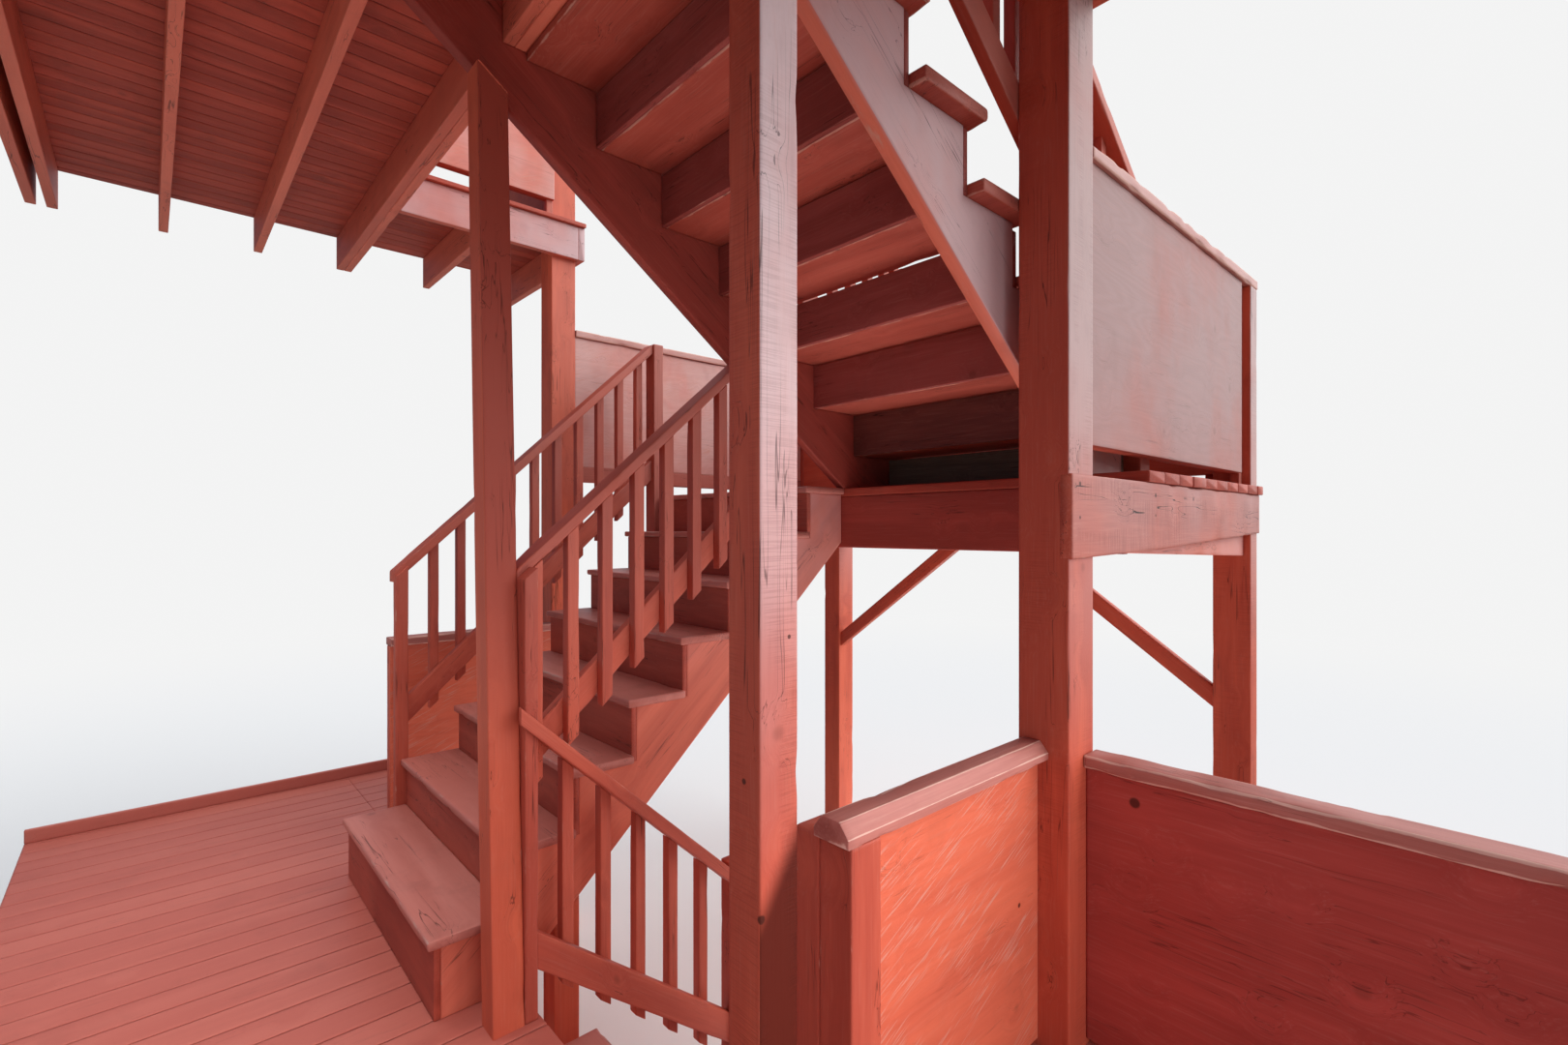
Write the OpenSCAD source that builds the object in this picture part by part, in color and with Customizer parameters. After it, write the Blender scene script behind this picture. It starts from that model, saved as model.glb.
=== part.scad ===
/* [Levels] */
// Height of the lower deck floor above the ground
deck_z = 800; // [760:10:840]
// Rise of the lowest step of the flight that leaves the lower deck
first_rise = 250; // [230:5:260]
// Rise of each other step of that flight
low_rise = 199; // [195:1:203]
// Rise of each step from the landing to the upper deck
up_rise = 191.5; // [188:0.5:195]
// Height of the plywood guards above either deck
deck_guard_h = 820; // [800:10:900]
// Height of the plywood guard between the lower deck's walk and the stairwell
walk_guard_h = 940; // [900:10:1000]
// Height of the plywood guards above the landing
landing_guard_h = 914; // [880:2:960]

/* [Plan] */
// Distance from the corner post to the end post along the deck
end_bay = 2200; // [1800:50:2600]
// Going of the flight from the lower deck to the landing
low_going = 219; // [216:1:222]
// Going of the flight from the landing to the upper deck
up_going = 261; // [259:1:263]
// Going of the flight from the ground to the lower deck
ground_going = 228; // [222:1:232]

/* [Timber] */
// Side of the slender posts beside the flights
small_post = 92; // [89:1:92]
// Side of the deck's corner and end posts
big_post = 150; // [144:1:150]
// Side of the posts under the landing and the wall walk
mid_post = 140; // [134:1:140]
// Thickness of a joist, rim or beam board
board_t = 38; // [36:1:40]
// Depth of the deck joists
joist_d = 184; // [178:1:190]
// Depth of the beams round the landing
landing_beam_d = 235; // [225:1:240]
// Thickness of the tongued deck floor
floor_t = 22; // [19:1:25]
// Thickness of the landing planks
plank_t = 38; // [32:1:40]
// Thickness of a tread of the two lower flights
tread_t = 28; // [25:1:32]
// Thickness of a tread of the upper flight
up_tread_t = 38; // [34:1:40]
// Radius of the worn nosing of a tread
nose_r = 6; // [2:1:10]
// Thickness of a riser board
riser_t = 20; // [18:1:22]
// Thickness of a stair stringer
stringer_t = 44; // [38:1:45]
// How far a tread stands out past its riser
nosing = 22; // [18:1:26]
// Thickness of the plywood in the guards
ply_t = 19; // [15:1:20]
// Side of a baluster
baluster = 38; // [34:1:40]
// Thickness of a guard's cap
cap_t = 38; // [34:1:40]

/* [Hidden] */

paint_post = [0.47, 0.16, 0.12];
paint_frame = [0.50, 0.17, 0.13];
paint_floor = [0.60, 0.27, 0.22];
paint_tread = [0.56, 0.24, 0.20];
paint_rail = [0.55, 0.20, 0.15];
paint_guard = [0.66, 0.26, 0.19];

// Levels of the floors and of the posts' tops
low_steps = 8;
up_steps = 8;
ground_steps = 4;
ground_rise = deck_z / ground_steps;
landing_z = deck_z + first_rise + (low_steps - 1) * low_rise;
upper_z = landing_z + up_steps * up_rise;
post_top = upper_z + deck_guard_h + 100;

// Plan of the porch: x runs out from the house, y runs towards the side wall
house_x = -416;
wall_y = 4770;
well_x = 896;
deck_edge_x = well_x + 22;
low_header_x = well_x - board_t;
low_edge_x = low_header_x + 14;
corner_x = 1856;
corner_y = 886;
end_y = corner_y - end_bay;
walk_y = 3686;
walk_x = 1797;
near_post_x = well_x + 1 - small_post;
near_post_y = 946;
far_post_x = well_x - 2 * board_t - small_post;
far_post_y = 2024;
landing_x = 2380;
outer_x = 3560;
outer_post_x1 = outer_x + 93;
outer_post_y1 = corner_y + 148;
far_landing_post_y = 3338;
floor_y0 = end_y - 26;
floor_x1 = corner_x + big_post + board_t + 10;
well_y = near_post_y + small_post;

// Plan of the landing, whose planks run past the beams round it
landing_y0 = 861;
landing_y1 = 3790;
landing_x1 = outer_post_x1 + 7;
near_beam_y = landing_y0 + 15;
far_beam_y = landing_y1 - board_t;
beam_top = landing_z - plank_t;
beam_low = beam_top - landing_beam_d;

// Plan of the flights, and how much wood is left under their cut steps
low_x = landing_x - 8 * low_going - 2;
low_y0 = 2197;
low_y1 = 3390;
low_throat = 205;
up_x = well_x + (up_steps - 1) * up_going;
up_y0 = well_y;
up_y1 = 2241;
up_lap = 51;
up_throat = 202;
ground_x = low_header_x + (ground_steps - 1) * ground_going;
ground_y0 = 1112;
ground_y1 = 2137;
ground_throat = 190;
tread_lap = 21;

// Middle of the whole structure, which stands over the origin
mid_x = (house_x + outer_x + mid_post) / 2;
mid_y = (floor_y0 + wall_y) / 2;

// A bar between two corners
module bar(lo, hi) {
    translate(lo) cube(hi - lo);
}

// A flat piece drawn in x and z, from y to y + t
module upright(points, y, t) {
    translate([0, y + t, 0]) rotate([90, 0, 0]) linear_extrude(t) polygon(points);
}

// A flat piece drawn in y and z, from x to x + t
module crosswise(points, x, t) {
    translate([x, 0, 0]) rotate([90, 0, 90]) linear_extrude(t) polygon(points);
}

// Points along an arc in four strokes
function arc(x, z, r, from, to) =
    [for (i = [0:4]) let (a = from + (to - from) * i / 4) [x + r * cos(a), z + r * sin(a)]];

// Everything is moved so that the middle of the plan is the origin
module placed() {
    translate([-mid_x, -mid_y, 0]) children();
}

// Posts: each stands on the ground, and the two at the landing's near beam are notched so
// that the beam is let into their faces
module post(x, y, side, top) {
    bar([x, y, 0], [x + side, y + side, top]);
}

// The far stair post is plumb up to the lower deck. Above it the post leans towards the wall,
// and its head is cut to the slope of the stringer that it carries
post_lean = 0.045;

module far_stair_post() {
    y1 = far_post_y + small_post;
    top = upper_z - joist_d;
    lean = (top - deck_z) * post_lean;
    intersection() {
        crosswise([[far_post_y, 0], [y1, 0], [y1, deck_z], [y1 + lean, top],
            [far_post_y + lean, top], [far_post_y, deck_z]], far_post_x, small_post);
        upright([[far_post_x, 0], [starter_x, 0], [starter_x, up_under(starter_x)],
            [far_post_x, up_under(far_post_x)]], far_post_y, small_post + lean);
    }
}

// Props stand under both stringers of the lower flight, just beyond the deck's edge
prop_x = 996;
prop_side = 89;

module prop(y) {
    x1 = prop_x + prop_side;
    upright([[prop_x, 0], [x1, 0], [x1, low_under(x1)], [prop_x, low_under(prop_x)]],
        y, prop_side);
}

module stair_posts() {
    color(paint_post) {
        post(near_post_x, near_post_y, small_post, post_top);
        far_stair_post();
        prop(low_y0 + tread_lap);
        prop(low_y1 - prop_side);
    }
}

module deck_posts() {
    color(paint_post) {
        difference() {
            post(corner_x, corner_y, big_post, post_top);
            near_beam_board(corner_x - 1, landing_x);
        }
        post(corner_x, end_y, big_post, post_top);
    }
}

module landing_posts() {
    color(paint_post) {
        difference() {
            bar([outer_x, corner_y, 0],
                [outer_post_x1, outer_post_y1, landing_z + landing_guard_h - cap_t]);
            near_beam_board(landing_x, outer_post_x1 + 1);
        }
        post(outer_x, far_landing_post_y, mid_post, beam_low);
    }
}

module wall_walk_post() {
    color(paint_post)
        post(walk_x - mid_post, walk_y + board_t, mid_post, post_top);
}

// Deck framing: joists run towards the side wall, and doubled beams lie flush between them
joist_xs = [house_x, -345, 47, 434];
side_joist_xs = [well_x - board_t, 1376];
walk_joist_x = 1283;

module deck_joists(z) {
    top = z - floor_t;
    low = top - joist_d;
    for (x = joist_xs) {
        bar([x, near_post_y, low], [x + board_t, wall_y, top]);
        bar([x, end_y + 50, low], [x + board_t, near_post_y - 2 * board_t, top]);
    }
    for (x = side_joist_xs)
        bar([x, end_y + 50, low], [x + board_t, near_post_y - 2 * board_t, top]);
    bar([walk_joist_x, walk_y + board_t, low], [walk_joist_x + board_t, wall_y, top]);
}

module deck_beams(z) {
    top = z - floor_t;
    low = top - joist_d;
    bar([house_x, near_post_y - 2 * board_t, low], [corner_x, near_post_y, top]);
    bar([house_x, floor_y0, low], [corner_x, end_y + 50, top]);
}

// The rims close the open sides of a deck: the header of the stairwell and its near side, the
// front and the end of the walk along the wall, and the side towards the yard. The header is
// one board at the lower deck and two at the upper one
module deck_rims(z, header_x1) {
    top = z - floor_t;
    low = top - joist_d;
    bar([well_x - 2 * board_t, well_y, low], [header_x1, wall_y, top]);
    bar([well_x + 1, corner_y + big_post - board_t, low], [corner_x, corner_y + big_post, top]);
    bar([header_x1, walk_y, low], [walk_x, walk_y + board_t, top]);
    bar([walk_x, walk_y, low], [walk_x + board_t, wall_y, top]);
    bar([corner_x + big_post, floor_y0, low],
        [corner_x + big_post + board_t, corner_y + big_post, top]);
}

module lower_joists() {
    color(paint_frame) deck_joists(deck_z);
}

module upper_joists() {
    color(paint_frame) deck_joists(upper_z);
}

module lower_beams() {
    color(paint_frame) deck_beams(deck_z);
}

module upper_beams() {
    color(paint_frame) deck_beams(upper_z);
}

module lower_rims() {
    color(paint_frame) deck_rims(deck_z, low_header_x);
}

module upper_rims() {
    color(paint_frame) deck_rims(upper_z, well_x);
}

// Deck floors: three pieces round the stairwell, cut out where posts pass through
module post_holes() {
    post(near_post_x, near_post_y, small_post, post_top);
    far_stair_post();
    post(corner_x, corner_y, big_post, post_top);
    post(corner_x, end_y, big_post, post_top);
    post(walk_x - mid_post, walk_y + board_t, mid_post, post_top);
}

module floor_piece(x0, y0, x1, y1, z) {
    color(paint_floor) difference() {
        bar([x0, y0, z - floor_t], [x1, y1, z]);
        post_holes();
    }
}

module floor_main(edge_x, z) {
    floor_piece(house_x, floor_y0, edge_x, wall_y, z);
}

module floor_side(edge_x, z) {
    floor_piece(edge_x, floor_y0, floor_x1, corner_y + big_post, z);
}

module floor_wall_walk(edge_x, z) {
    floor_piece(edge_x, walk_y - 20, walk_x + board_t, wall_y, z);
}

module lower_floor_main() {
    floor_main(low_edge_x, deck_z);
}

module lower_floor_side() {
    floor_side(low_edge_x, deck_z);
}

module lower_floor_wall_walk() {
    floor_wall_walk(low_edge_x, deck_z);
}

module upper_floor_main() {
    floor_main(deck_edge_x, upper_z);
}

module upper_floor_side() {
    floor_side(deck_edge_x, upper_z);
}

module upper_floor_wall_walk() {
    floor_wall_walk(deck_edge_x, upper_z);
}

// Flights, drawn as climbing along +x from the front of the first riser. A carriage is two
// cut stringers with the riser boards nailed to their edges
module climbing(x, z, back = false) {
    translate([x, 0, z]) {
        if (back)
            mirror([1, 0, 0]) children();
        else
            children();
    }
}

// Outline of a cut stringer: up the steps, round its head, and down the straight underside
function stringer_outline(n, going, first, rise, throat, thick, head) = concat(
    [[riser_t, 0]],
    [for (k = [1:n - 1], e = [0, 1])
        [(k - 1 + e) * going + riser_t, first + (k - 1) * rise - thick]],
    [[(n - 1) * going + riser_t, first + (n - 1) * rise - thick]],
    head,
    [[under_x(0, going, first, rise, throat + thick), 0]]);

// Where the underside of a stringer reaches height z, deep below the tops of the treads
function under_x(z, going, first, rise, deep) =
    going + riser_t + (z - first + deep) * going / rise;

// Height of the underside of a stringer at distance x
function under_z(x, going, first, rise, deep) =
    first - deep + (x - going - riser_t) * rise / going;

module risers(n, going, first, rise, thick, y0, y1) {
    for (k = [1:n]) {
        low = k == 1 ? 0 : first + (k - 2) * rise - thick;
        bar([(k - 1) * going, y0, low],
            [(k - 1) * going + riser_t, y1, first + (k - 1) * rise - thick]);
    }
}

// A tread board with a worn, rounded nosing
module tread(x0, x1, z, thick, y0, y1) {
    upright(concat(
        arc(x0 + nose_r, z - nose_r, nose_r, 90, 180),
        arc(x0 + nose_r, z - thick + nose_r, nose_r, 180, 270),
        [[x1, z - thick], [x1, z]]), y0, y1 - y0);
}

module treads(n, going, first, rise, thick, last, y0, y1) {
    for (k = [1:n])
        tread((k - 1) * going - nosing, k == n ? last : k * going,
            first + (k - 1) * rise, thick, y0, y1);
}

// Ground flight: three treads from the yard up to the edge of the lower deck
header_low = deck_z - floor_t - joist_d;

module ground_flight_carriage() {
    reach = ground_x - low_header_x;
    tail = ground_x - starter_x;
    deep = ground_throat + tread_t;
    n = ground_steps - 1;
    head = [[reach, n * ground_rise - tread_t], [reach, header_low], [tail, header_low],
        [tail, under_z(tail, ground_going, ground_rise, ground_rise, deep)]];
    outline = stringer_outline(n, ground_going, ground_rise, ground_rise, ground_throat,
        tread_t, head);
    color(paint_frame) climbing(ground_x, 0, back = true) {
        upright(outline, ground_y0, stringer_t);
        upright(outline, ground_y1 - stringer_t, stringer_t);
        risers(n, ground_going, ground_rise, ground_rise, tread_t, ground_y0, ground_y1);
    }
}

module ground_flight_treads() {
    color(paint_tread) climbing(ground_x, 0, back = true)
        treads(ground_steps - 1, ground_going, ground_rise, ground_rise, tread_t,
            ground_x - low_header_x, ground_y0, ground_y1);
}

// Lower flight: eight treads from the lower deck to the landing, the last one level with it
low_under = function (x)
    deck_z + under_z(x - low_x, low_going, first_rise, low_rise, low_throat + tread_t);

module lower_flight_carriage() {
    reach = landing_x - low_x;
    head = [[reach, landing_z - deck_z - tread_t], [reach, low_under(landing_x) - deck_z]];
    outline = stringer_outline(low_steps, low_going, first_rise, low_rise, low_throat,
        tread_t, head);
    color(paint_frame) climbing(low_x, deck_z) {
        upright(outline, low_y0 + tread_lap, stringer_t);
        upright(outline, low_y1 - stringer_t, stringer_t);
        risers(low_steps, low_going, first_rise, low_rise, tread_t, low_y0 + tread_lap, low_y1);
    }
}

module lower_flight_treads() {
    color(paint_tread) climbing(low_x, deck_z)
        treads(low_steps, low_going, first_rise, low_rise, tread_t, landing_x - low_x,
            low_y0, low_y1);
}

// Upper flight: seven treads from the landing to the upper deck, whose header is the last
// riser. The stringers run on under the header and taper out below the floor
up_deep = up_throat + up_tread_t;
up_under = function (x) landing_z + under_z(up_x - x, up_going, up_rise, up_rise, up_deep);

module upper_flight_carriage() {
    reach = up_x - well_x;
    n = up_steps - 1;
    under_header = up_steps * up_rise - floor_t - joist_d;
    head = [[reach, n * up_rise - up_tread_t], [reach, under_header],
        [under_x(under_header, up_going, up_rise, up_rise, up_deep), under_header]];
    outline = stringer_outline(n, up_going, up_rise, up_rise, up_throat, up_tread_t, head);
    color(paint_frame) climbing(up_x, landing_z, back = true) {
        upright(outline, up_y0 + up_lap, stringer_t);
        upright(outline, up_y1 - stringer_t, stringer_t);
        risers(n, up_going, up_rise, up_rise, up_tread_t, up_y0 + up_lap, up_y1);
    }
}

module upper_flight_treads() {
    color(paint_tread) climbing(up_x, landing_z, back = true)
        treads(up_steps - 1, up_going, up_rise, up_rise, up_tread_t, up_x - well_x,
            up_y0, up_y1);
}

// Landing: planks over joists, with a beam on every side
landing_joist_ys = [1330, 1800, 2270, 2740, 3200];
outer_beam_x = outer_post_x1 - 2 * board_t;

module landing_floor() {
    color(paint_floor) difference() {
        bar([landing_x, landing_y0, beam_top], [landing_x1, landing_y1, landing_z]);
        bar([outer_x, corner_y, 0], [landing_x1 + 1, outer_post_y1, post_top]);
    }
}

module landing_beam_inner() {
    color(paint_frame)
        bar([landing_x, near_beam_y + 2 * board_t, beam_low],
            [landing_x + board_t, far_beam_y, beam_top]);
}

// The near beam is two boards of uneven depth: one let into the posts' faces, whose lower edge
// rises outwards with a bend, and one between the posts, whose lower edge falls
near_bend_x = 2600;
near_low = function (x)
    beam_low + 0.027 * (min(x, near_bend_x) - corner_x) + 0.044 * max(0, x - near_bend_x);

module near_beam_board(x0, x1) {
    bend = x0 < near_bend_x && near_bend_x < x1 ? [[near_bend_x, near_low(near_bend_x)]] : [];
    upright(concat([[x0, near_low(x0)]], bend,
        [[x1, near_low(x1)], [x1, beam_top], [x0, beam_top]]), near_beam_y, board_t);
}

module landing_beam_near() {
    color(paint_frame) {
        near_beam_board(corner_x, outer_post_x1);
        upright([[corner_x + big_post, beam_low + 16], [outer_x, beam_low - 33],
            [outer_x, beam_top], [corner_x + big_post, beam_top]], near_beam_y + board_t, board_t);
    }
}

module landing_beam_outer() {
    color(paint_frame)
        bar([outer_beam_x, outer_post_y1, beam_low],
            [outer_beam_x + 2 * board_t, far_beam_y, beam_top]);
}

module landing_beam_far() {
    color(paint_frame)
        bar([landing_x, far_beam_y, beam_low],
            [outer_beam_x + 2 * board_t, landing_y1, beam_top]);
}

module landing_joists() {
    color(paint_frame)
        for (y = landing_joist_ys)
            bar([landing_x + board_t, y, beam_top - joist_d],
                [outer_beam_x, y + board_t, beam_top]);
}

// Knee braces from the outer posts to the underside of the outer beam
brace_foot_z = beam_low - 725;
brace_slope = 0.73;
brace_deep = 95;

module brace(y_foot, way) {
    run = (beam_low - brace_foot_z) / brace_slope;
    crosswise([[y_foot, brace_foot_z],
        [y_foot + way * run, beam_low],
        [y_foot + way * (run - brace_deep / brace_slope), beam_low],
        [y_foot, brace_foot_z + brace_deep]], outer_beam_x, board_t);
}

module landing_braces() {
    color(paint_post) {
        brace(outer_post_y1, 1);
        brace(far_landing_post_y, -1);
    }
}

// Railings: each follows the line of its flight's nosings. A flat top rail and a bottom rail
// on edge are cut plumb at the posts, and balusters with sloped ends are nailed beside them
low_line = function (x) deck_z + first_rise + (x - low_x + nosing) * low_rise / low_going;
up_line = function (x) landing_z + up_rise + (up_x + nosing - x) * up_rise / up_going;
ground_line = function (x) ground_rise + (ground_x + nosing - x) * ground_rise / ground_going;
rail_deep = 52;
newel = 89;

// The makers let some rails climb a little steeper or flatter than the steps
askew = function (line, lift, x_from) function (x) line(x) + lift * (x - x_from);

module rail(line, x0, x1, top, deep, y0, y1) {
    upright([[x0, line(x0) + top - deep], [x1, line(x1) + top - deep],
        [x1, line(x1) + top], [x0, line(x0) + top]], y0, y1 - y0);
}

// A board or newel whose sloped head is let into the top rail it carries
module rail_foot(line, x, wide, z, hand, y0, y1) {
    head = hand - rail_deep / 2;
    upright([[x, z], [x + wide, z], [x + wide, line(x + wide) + head], [x, line(x) + head]],
        y0, y1 - y0);
}

module balusters(foot_line, head_line, first, pitch, end, foot, head, y) {
    for (x0 = [first:pitch:end]) {
        x1 = x0 + baluster;
        upright([[x0, foot_line(x0) + foot], [x1, foot_line(x1) + foot],
            [x1, head_line(x1) + head], [x0, head_line(x0) + head]], y, baluster);
    }
}

// The near railing starts at a board beside the far stair post and ends at a post that is
// bolted to the side of the flight above
starter_x = far_post_x + small_post;
starter_t = 40;

module lower_flight_railing_near() {
    side = 2127;
    end_x = 1735;
    hand = 885;
    deep = 42;
    hand_line = askew(low_line, -0.0186, starter_x);
    color(paint_rail) {
        rail_foot(hand_line, starter_x, starter_t, deck_z, hand, far_post_y, side + board_t);
        rail(hand_line, starter_x, end_x, hand, deep, side - 41, side + 48);
        rail(low_line, starter_x + starter_t, end_x, 322, 115, side, side + board_t);
        balusters(low_line, hand_line, starter_x + 44, 119, end_x - 60, 170, hand - deep,
            side - baluster);
        bar([end_x, side, low_line(end_x) - 100], [end_x + 70, low_y0, low_line(end_x) + 1000]);
    }
}

module lower_flight_railing_far() {
    x0 = 803;
    foot_w = 52;
    x1 = 2105;
    hand = 840;
    front = low_y1 + 28;
    hand_line = askew(low_line, 0.0307, x0);
    color(paint_rail) {
        rail_foot(hand_line, x0, foot_w, deck_z, hand, low_y1, low_y1 + 40);
        rail(hand_line, x0, x1, hand, rail_deep, front - 13, front + 76);
        rail(low_line, x0 + foot_w, x1, 233, 116, front, front + board_t);
        balusters(low_line, hand_line, x0 + 157, 119, x1 - 60, 60, hand - rail_deep,
            front + board_t);
        bar([x1, low_y1, low_line(x1) - 330], [x1 + 60, low_y1 + newel, hand_line(x1) + hand]);
    }
}

// The railings of the upper flight stand over its treads, between newels on the landing and
// the deck's posts
up_newel_x = up_x + nosing + 5;
up_hand = 890;

module upper_flight_railing(y_rail, y_baluster, y_hand, x_end) {
    rail(up_line, x_end, up_newel_x, up_hand, rail_deep, y_hand, y_hand + 83);
    rail(up_line, x_end, up_newel_x, 265, 115, y_rail, y_rail + board_t);
    balusters(up_line, up_line, well_x + 60, 119, up_newel_x - 60, 222, up_hand - rail_deep,
        y_baluster);
    bar([up_newel_x, y_hand, landing_z],
        [up_newel_x + newel, y_hand + newel, up_line(up_newel_x) + up_hand + 20]);
}

module upper_flight_railing_near() {
    color(paint_rail)
        upper_flight_railing(well_y, well_y + board_t, well_y, near_post_x + 30);
}

module upper_flight_railing_far() {
    y = up_y1 - newel;
    color(paint_rail) {
        upper_flight_railing(y + newel - board_t, y + newel - 2 * board_t, y + 6, deck_edge_x);
        bar([deck_edge_x - newel, y, upper_z], [deck_edge_x, up_y1, post_top - 20]);
    }
}

// The ground railing's top rail is notched round the corner of the post at its head
module ground_flight_railing() {
    front = far_post_y;
    foot_x = ground_x + 47;
    rail_x0 = starter_x + starter_t;
    rail_y = front + 6;
    hand_line = function (x) deck_z + 882 - 0.93 * (x - rail_x0);
    low_rail_line = function (x) deck_z + 258 - 0.798 * (x - rail_x0);
    foot_line = function (x) deck_z + 124 - 0.85 * (x - rail_x0);
    color(paint_rail) {
        rail(hand_line, starter_x - 20, foot_x, 0, rail_deep, front - 19, front);
        rail(hand_line, rail_x0, foot_x, 0, rail_deep, front, front + 70);
        rail(low_rail_line, rail_x0, foot_x, 0, 114, rail_y, rail_y + board_t);
        balusters(foot_line, hand_line, rail_x0 + 95, 129, foot_x - 60, 0, -rail_deep,
            rail_y + board_t);
        bar([foot_x, front - 19, 0], [foot_x + newel, front + 70, hand_line(foot_x) + 20]);
    }
}

// Guards, drawn along +x with the panel's face at y = 0. Plywood covers a frame of studs,
// which stand on the floor, and two rails; a cap covers both. The plywood may stop short of
// the frame's end, and the cap may run on over a post
module guard(length, height, gap, short = 0, over = 0) {
    top = height - cap_t;
    bar([0, 0, gap], [length - short, ply_t, top]);
    for (z = [gap, top - newel])
        bar([0, ply_t, z], [length, ply_t + board_t, z + newel]);
    bays = max(1, round(length / 1100));
    for (i = [0:bays]) {
        x = i * (length - board_t) / bays;
        bar([x, ply_t, 0], [x + board_t, ply_t + board_t, top]);
    }
    bar([0, -16, top], [length + over, 74, height]);
}

// Turns a guard so that it runs towards the wall and its panel faces the house
module along_y(x, y0, y1, z, height, gap, over = 0) {
    translate([x, y1, z]) rotate([0, 0, -90]) guard(y1 - y0, height, gap, over = over);
}

// Cap of the front guards: a board with both upper edges bevelled away
module bevelled_cap(x0, x1, z) {
    crosswise([[944, z - 50], [944, z - 30], [968, z], [1020, z], [1044, z - 30], [1044, z - 50]],
        x0, x1 - x0);
}

front_newel_x = 1044;
front_newel_y = 944;
front_panel_x = front_newel_x + small_post;
front_panel_y = 975;
front_guard_h = deck_guard_h + 40;
front_cap_t = 50;

module guard_front(floor_z) {
    cap_low = floor_z + front_guard_h - front_cap_t;
    back = front_panel_y + ply_t;
    bar([front_newel_x, front_newel_y, floor_z], [front_panel_x, well_y - 2, cap_low]);
    bar([front_panel_x, front_panel_y, floor_z + 20], [corner_x, back, cap_low]);
    for (z = [floor_z + 20, cap_low - newel])
        bar([front_panel_x, back, z], [corner_x, back + board_t, z + newel]);
    bar([corner_x - board_t, back, floor_z], [corner_x, back + board_t, cap_low]);
    bevelled_cap(front_newel_x - 10, corner_x, floor_z + front_guard_h);
}

module guard_side(z) {
    color(paint_guard)
        along_y(corner_x + 101, end_y + big_post, corner_y, z, deck_guard_h, 20);
}

module guard_end(z) {
    color(paint_guard)
        translate([corner_x, end_y + 74, z]) rotate([0, 0, 180])
            guard(corner_x - house_x, deck_guard_h, 20);
}

module guard_walk_end(z) {
    color(paint_guard)
        along_y(walk_x - 57, walk_y + board_t + mid_post, wall_y, z, deck_guard_h, 60);
}

// At the head of the ground flight a second newel is bolted to the rim behind the first
module lower_guard_front() {
    color(paint_guard) {
        guard_front(deck_z);
        bar([front_newel_x, well_y - 2, header_low],
            [front_panel_x, ground_y0 - 2, deck_z + front_guard_h - front_cap_t]);
    }
}

// At the upper deck a board closes the gap between the guard and the stair post
module upper_guard_front() {
    color(paint_guard) {
        guard_front(upper_z);
        bar([well_x + 1, 998, upper_z],
            [front_newel_x, well_y - 2, upper_z + front_guard_h - front_cap_t - 10]);
    }
}

module lower_guard_side() {
    guard_side(deck_z);
}

module upper_guard_side() {
    guard_side(upper_z);
}

module lower_guard_end() {
    guard_end(deck_z);
}

module upper_guard_end() {
    guard_end(upper_z);
}

module lower_guard_wall_walk() {
    x0 = 850;
    color(paint_guard)
        translate([x0, walk_y, deck_z]) guard(walk_x - mid_post - x0, walk_guard_h, 60);
}

module upper_guard_wall_walk() {
    color(paint_guard)
        translate([deck_edge_x, walk_y, upper_z])
            guard(walk_x - mid_post - deck_edge_x, deck_guard_h, 86);
}

module lower_guard_walk_end() {
    guard_walk_end(deck_z);
}

module upper_guard_walk_end() {
    guard_walk_end(upper_z);
}

// The guard along the head of the stairwell ends at a newel in the corner of the walk
module upper_guard_well() {
    y1 = walk_y - 16;
    color(paint_guard) {
        along_y(well_x - 54, up_y1, y1, upper_z, deck_guard_h, 60);
        bar([deck_edge_x - newel, y1, upper_z], [deck_edge_x, y1 + newel, upper_z + deck_guard_h]);
    }
}

module landing_guard_near() {
    color(paint_guard)
        translate([corner_x + big_post, corner_y + 14, landing_z])
            guard(outer_x - corner_x - big_post, landing_guard_h, 54, short = 75, over = 100);
}

outer_guard_x = outer_x + 4;
far_guard_y = walk_y + board_t + 6;

module landing_guard_outer() {
    y1 = landing_y1 - newel;
    color(paint_guard) {
        along_y(outer_guard_x, outer_post_y1, y1, landing_z, landing_guard_h, 60, over = 60);
        bar([outer_guard_x, y1, landing_z],
            [outer_guard_x + newel, landing_y1, landing_z + landing_guard_h]);
    }
}

// The far guard runs on past the landing to the wall walk's post, so its studs stand on the
// landing only where there is one
module landing_guard_far() {
    z0 = landing_z + 82;
    top = landing_z + landing_guard_h - cap_t + 25;
    back = far_guard_y + ply_t;
    color(paint_guard) {
        bar([walk_x, far_guard_y, z0 + 87], [outer_guard_x, back, top]);
        bar([walk_x, far_guard_y, z0], [outer_guard_x, back, z0 + 87]);
        for (z = [z0, top - newel])
            bar([walk_x, back, z], [outer_guard_x, back + board_t, z + newel]);
        bar([walk_x, back, z0], [walk_x + board_t, back + board_t, top]);
        for (x = [landing_x + 4, (landing_x + outer_x) / 2, outer_guard_x - board_t])
            bar([x, back, landing_z], [x + board_t, back + board_t, top]);
        bar([walk_x, far_guard_y - 16, top], [outer_guard_x, far_guard_y + 74, top + cap_t]);
    }
}

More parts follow.
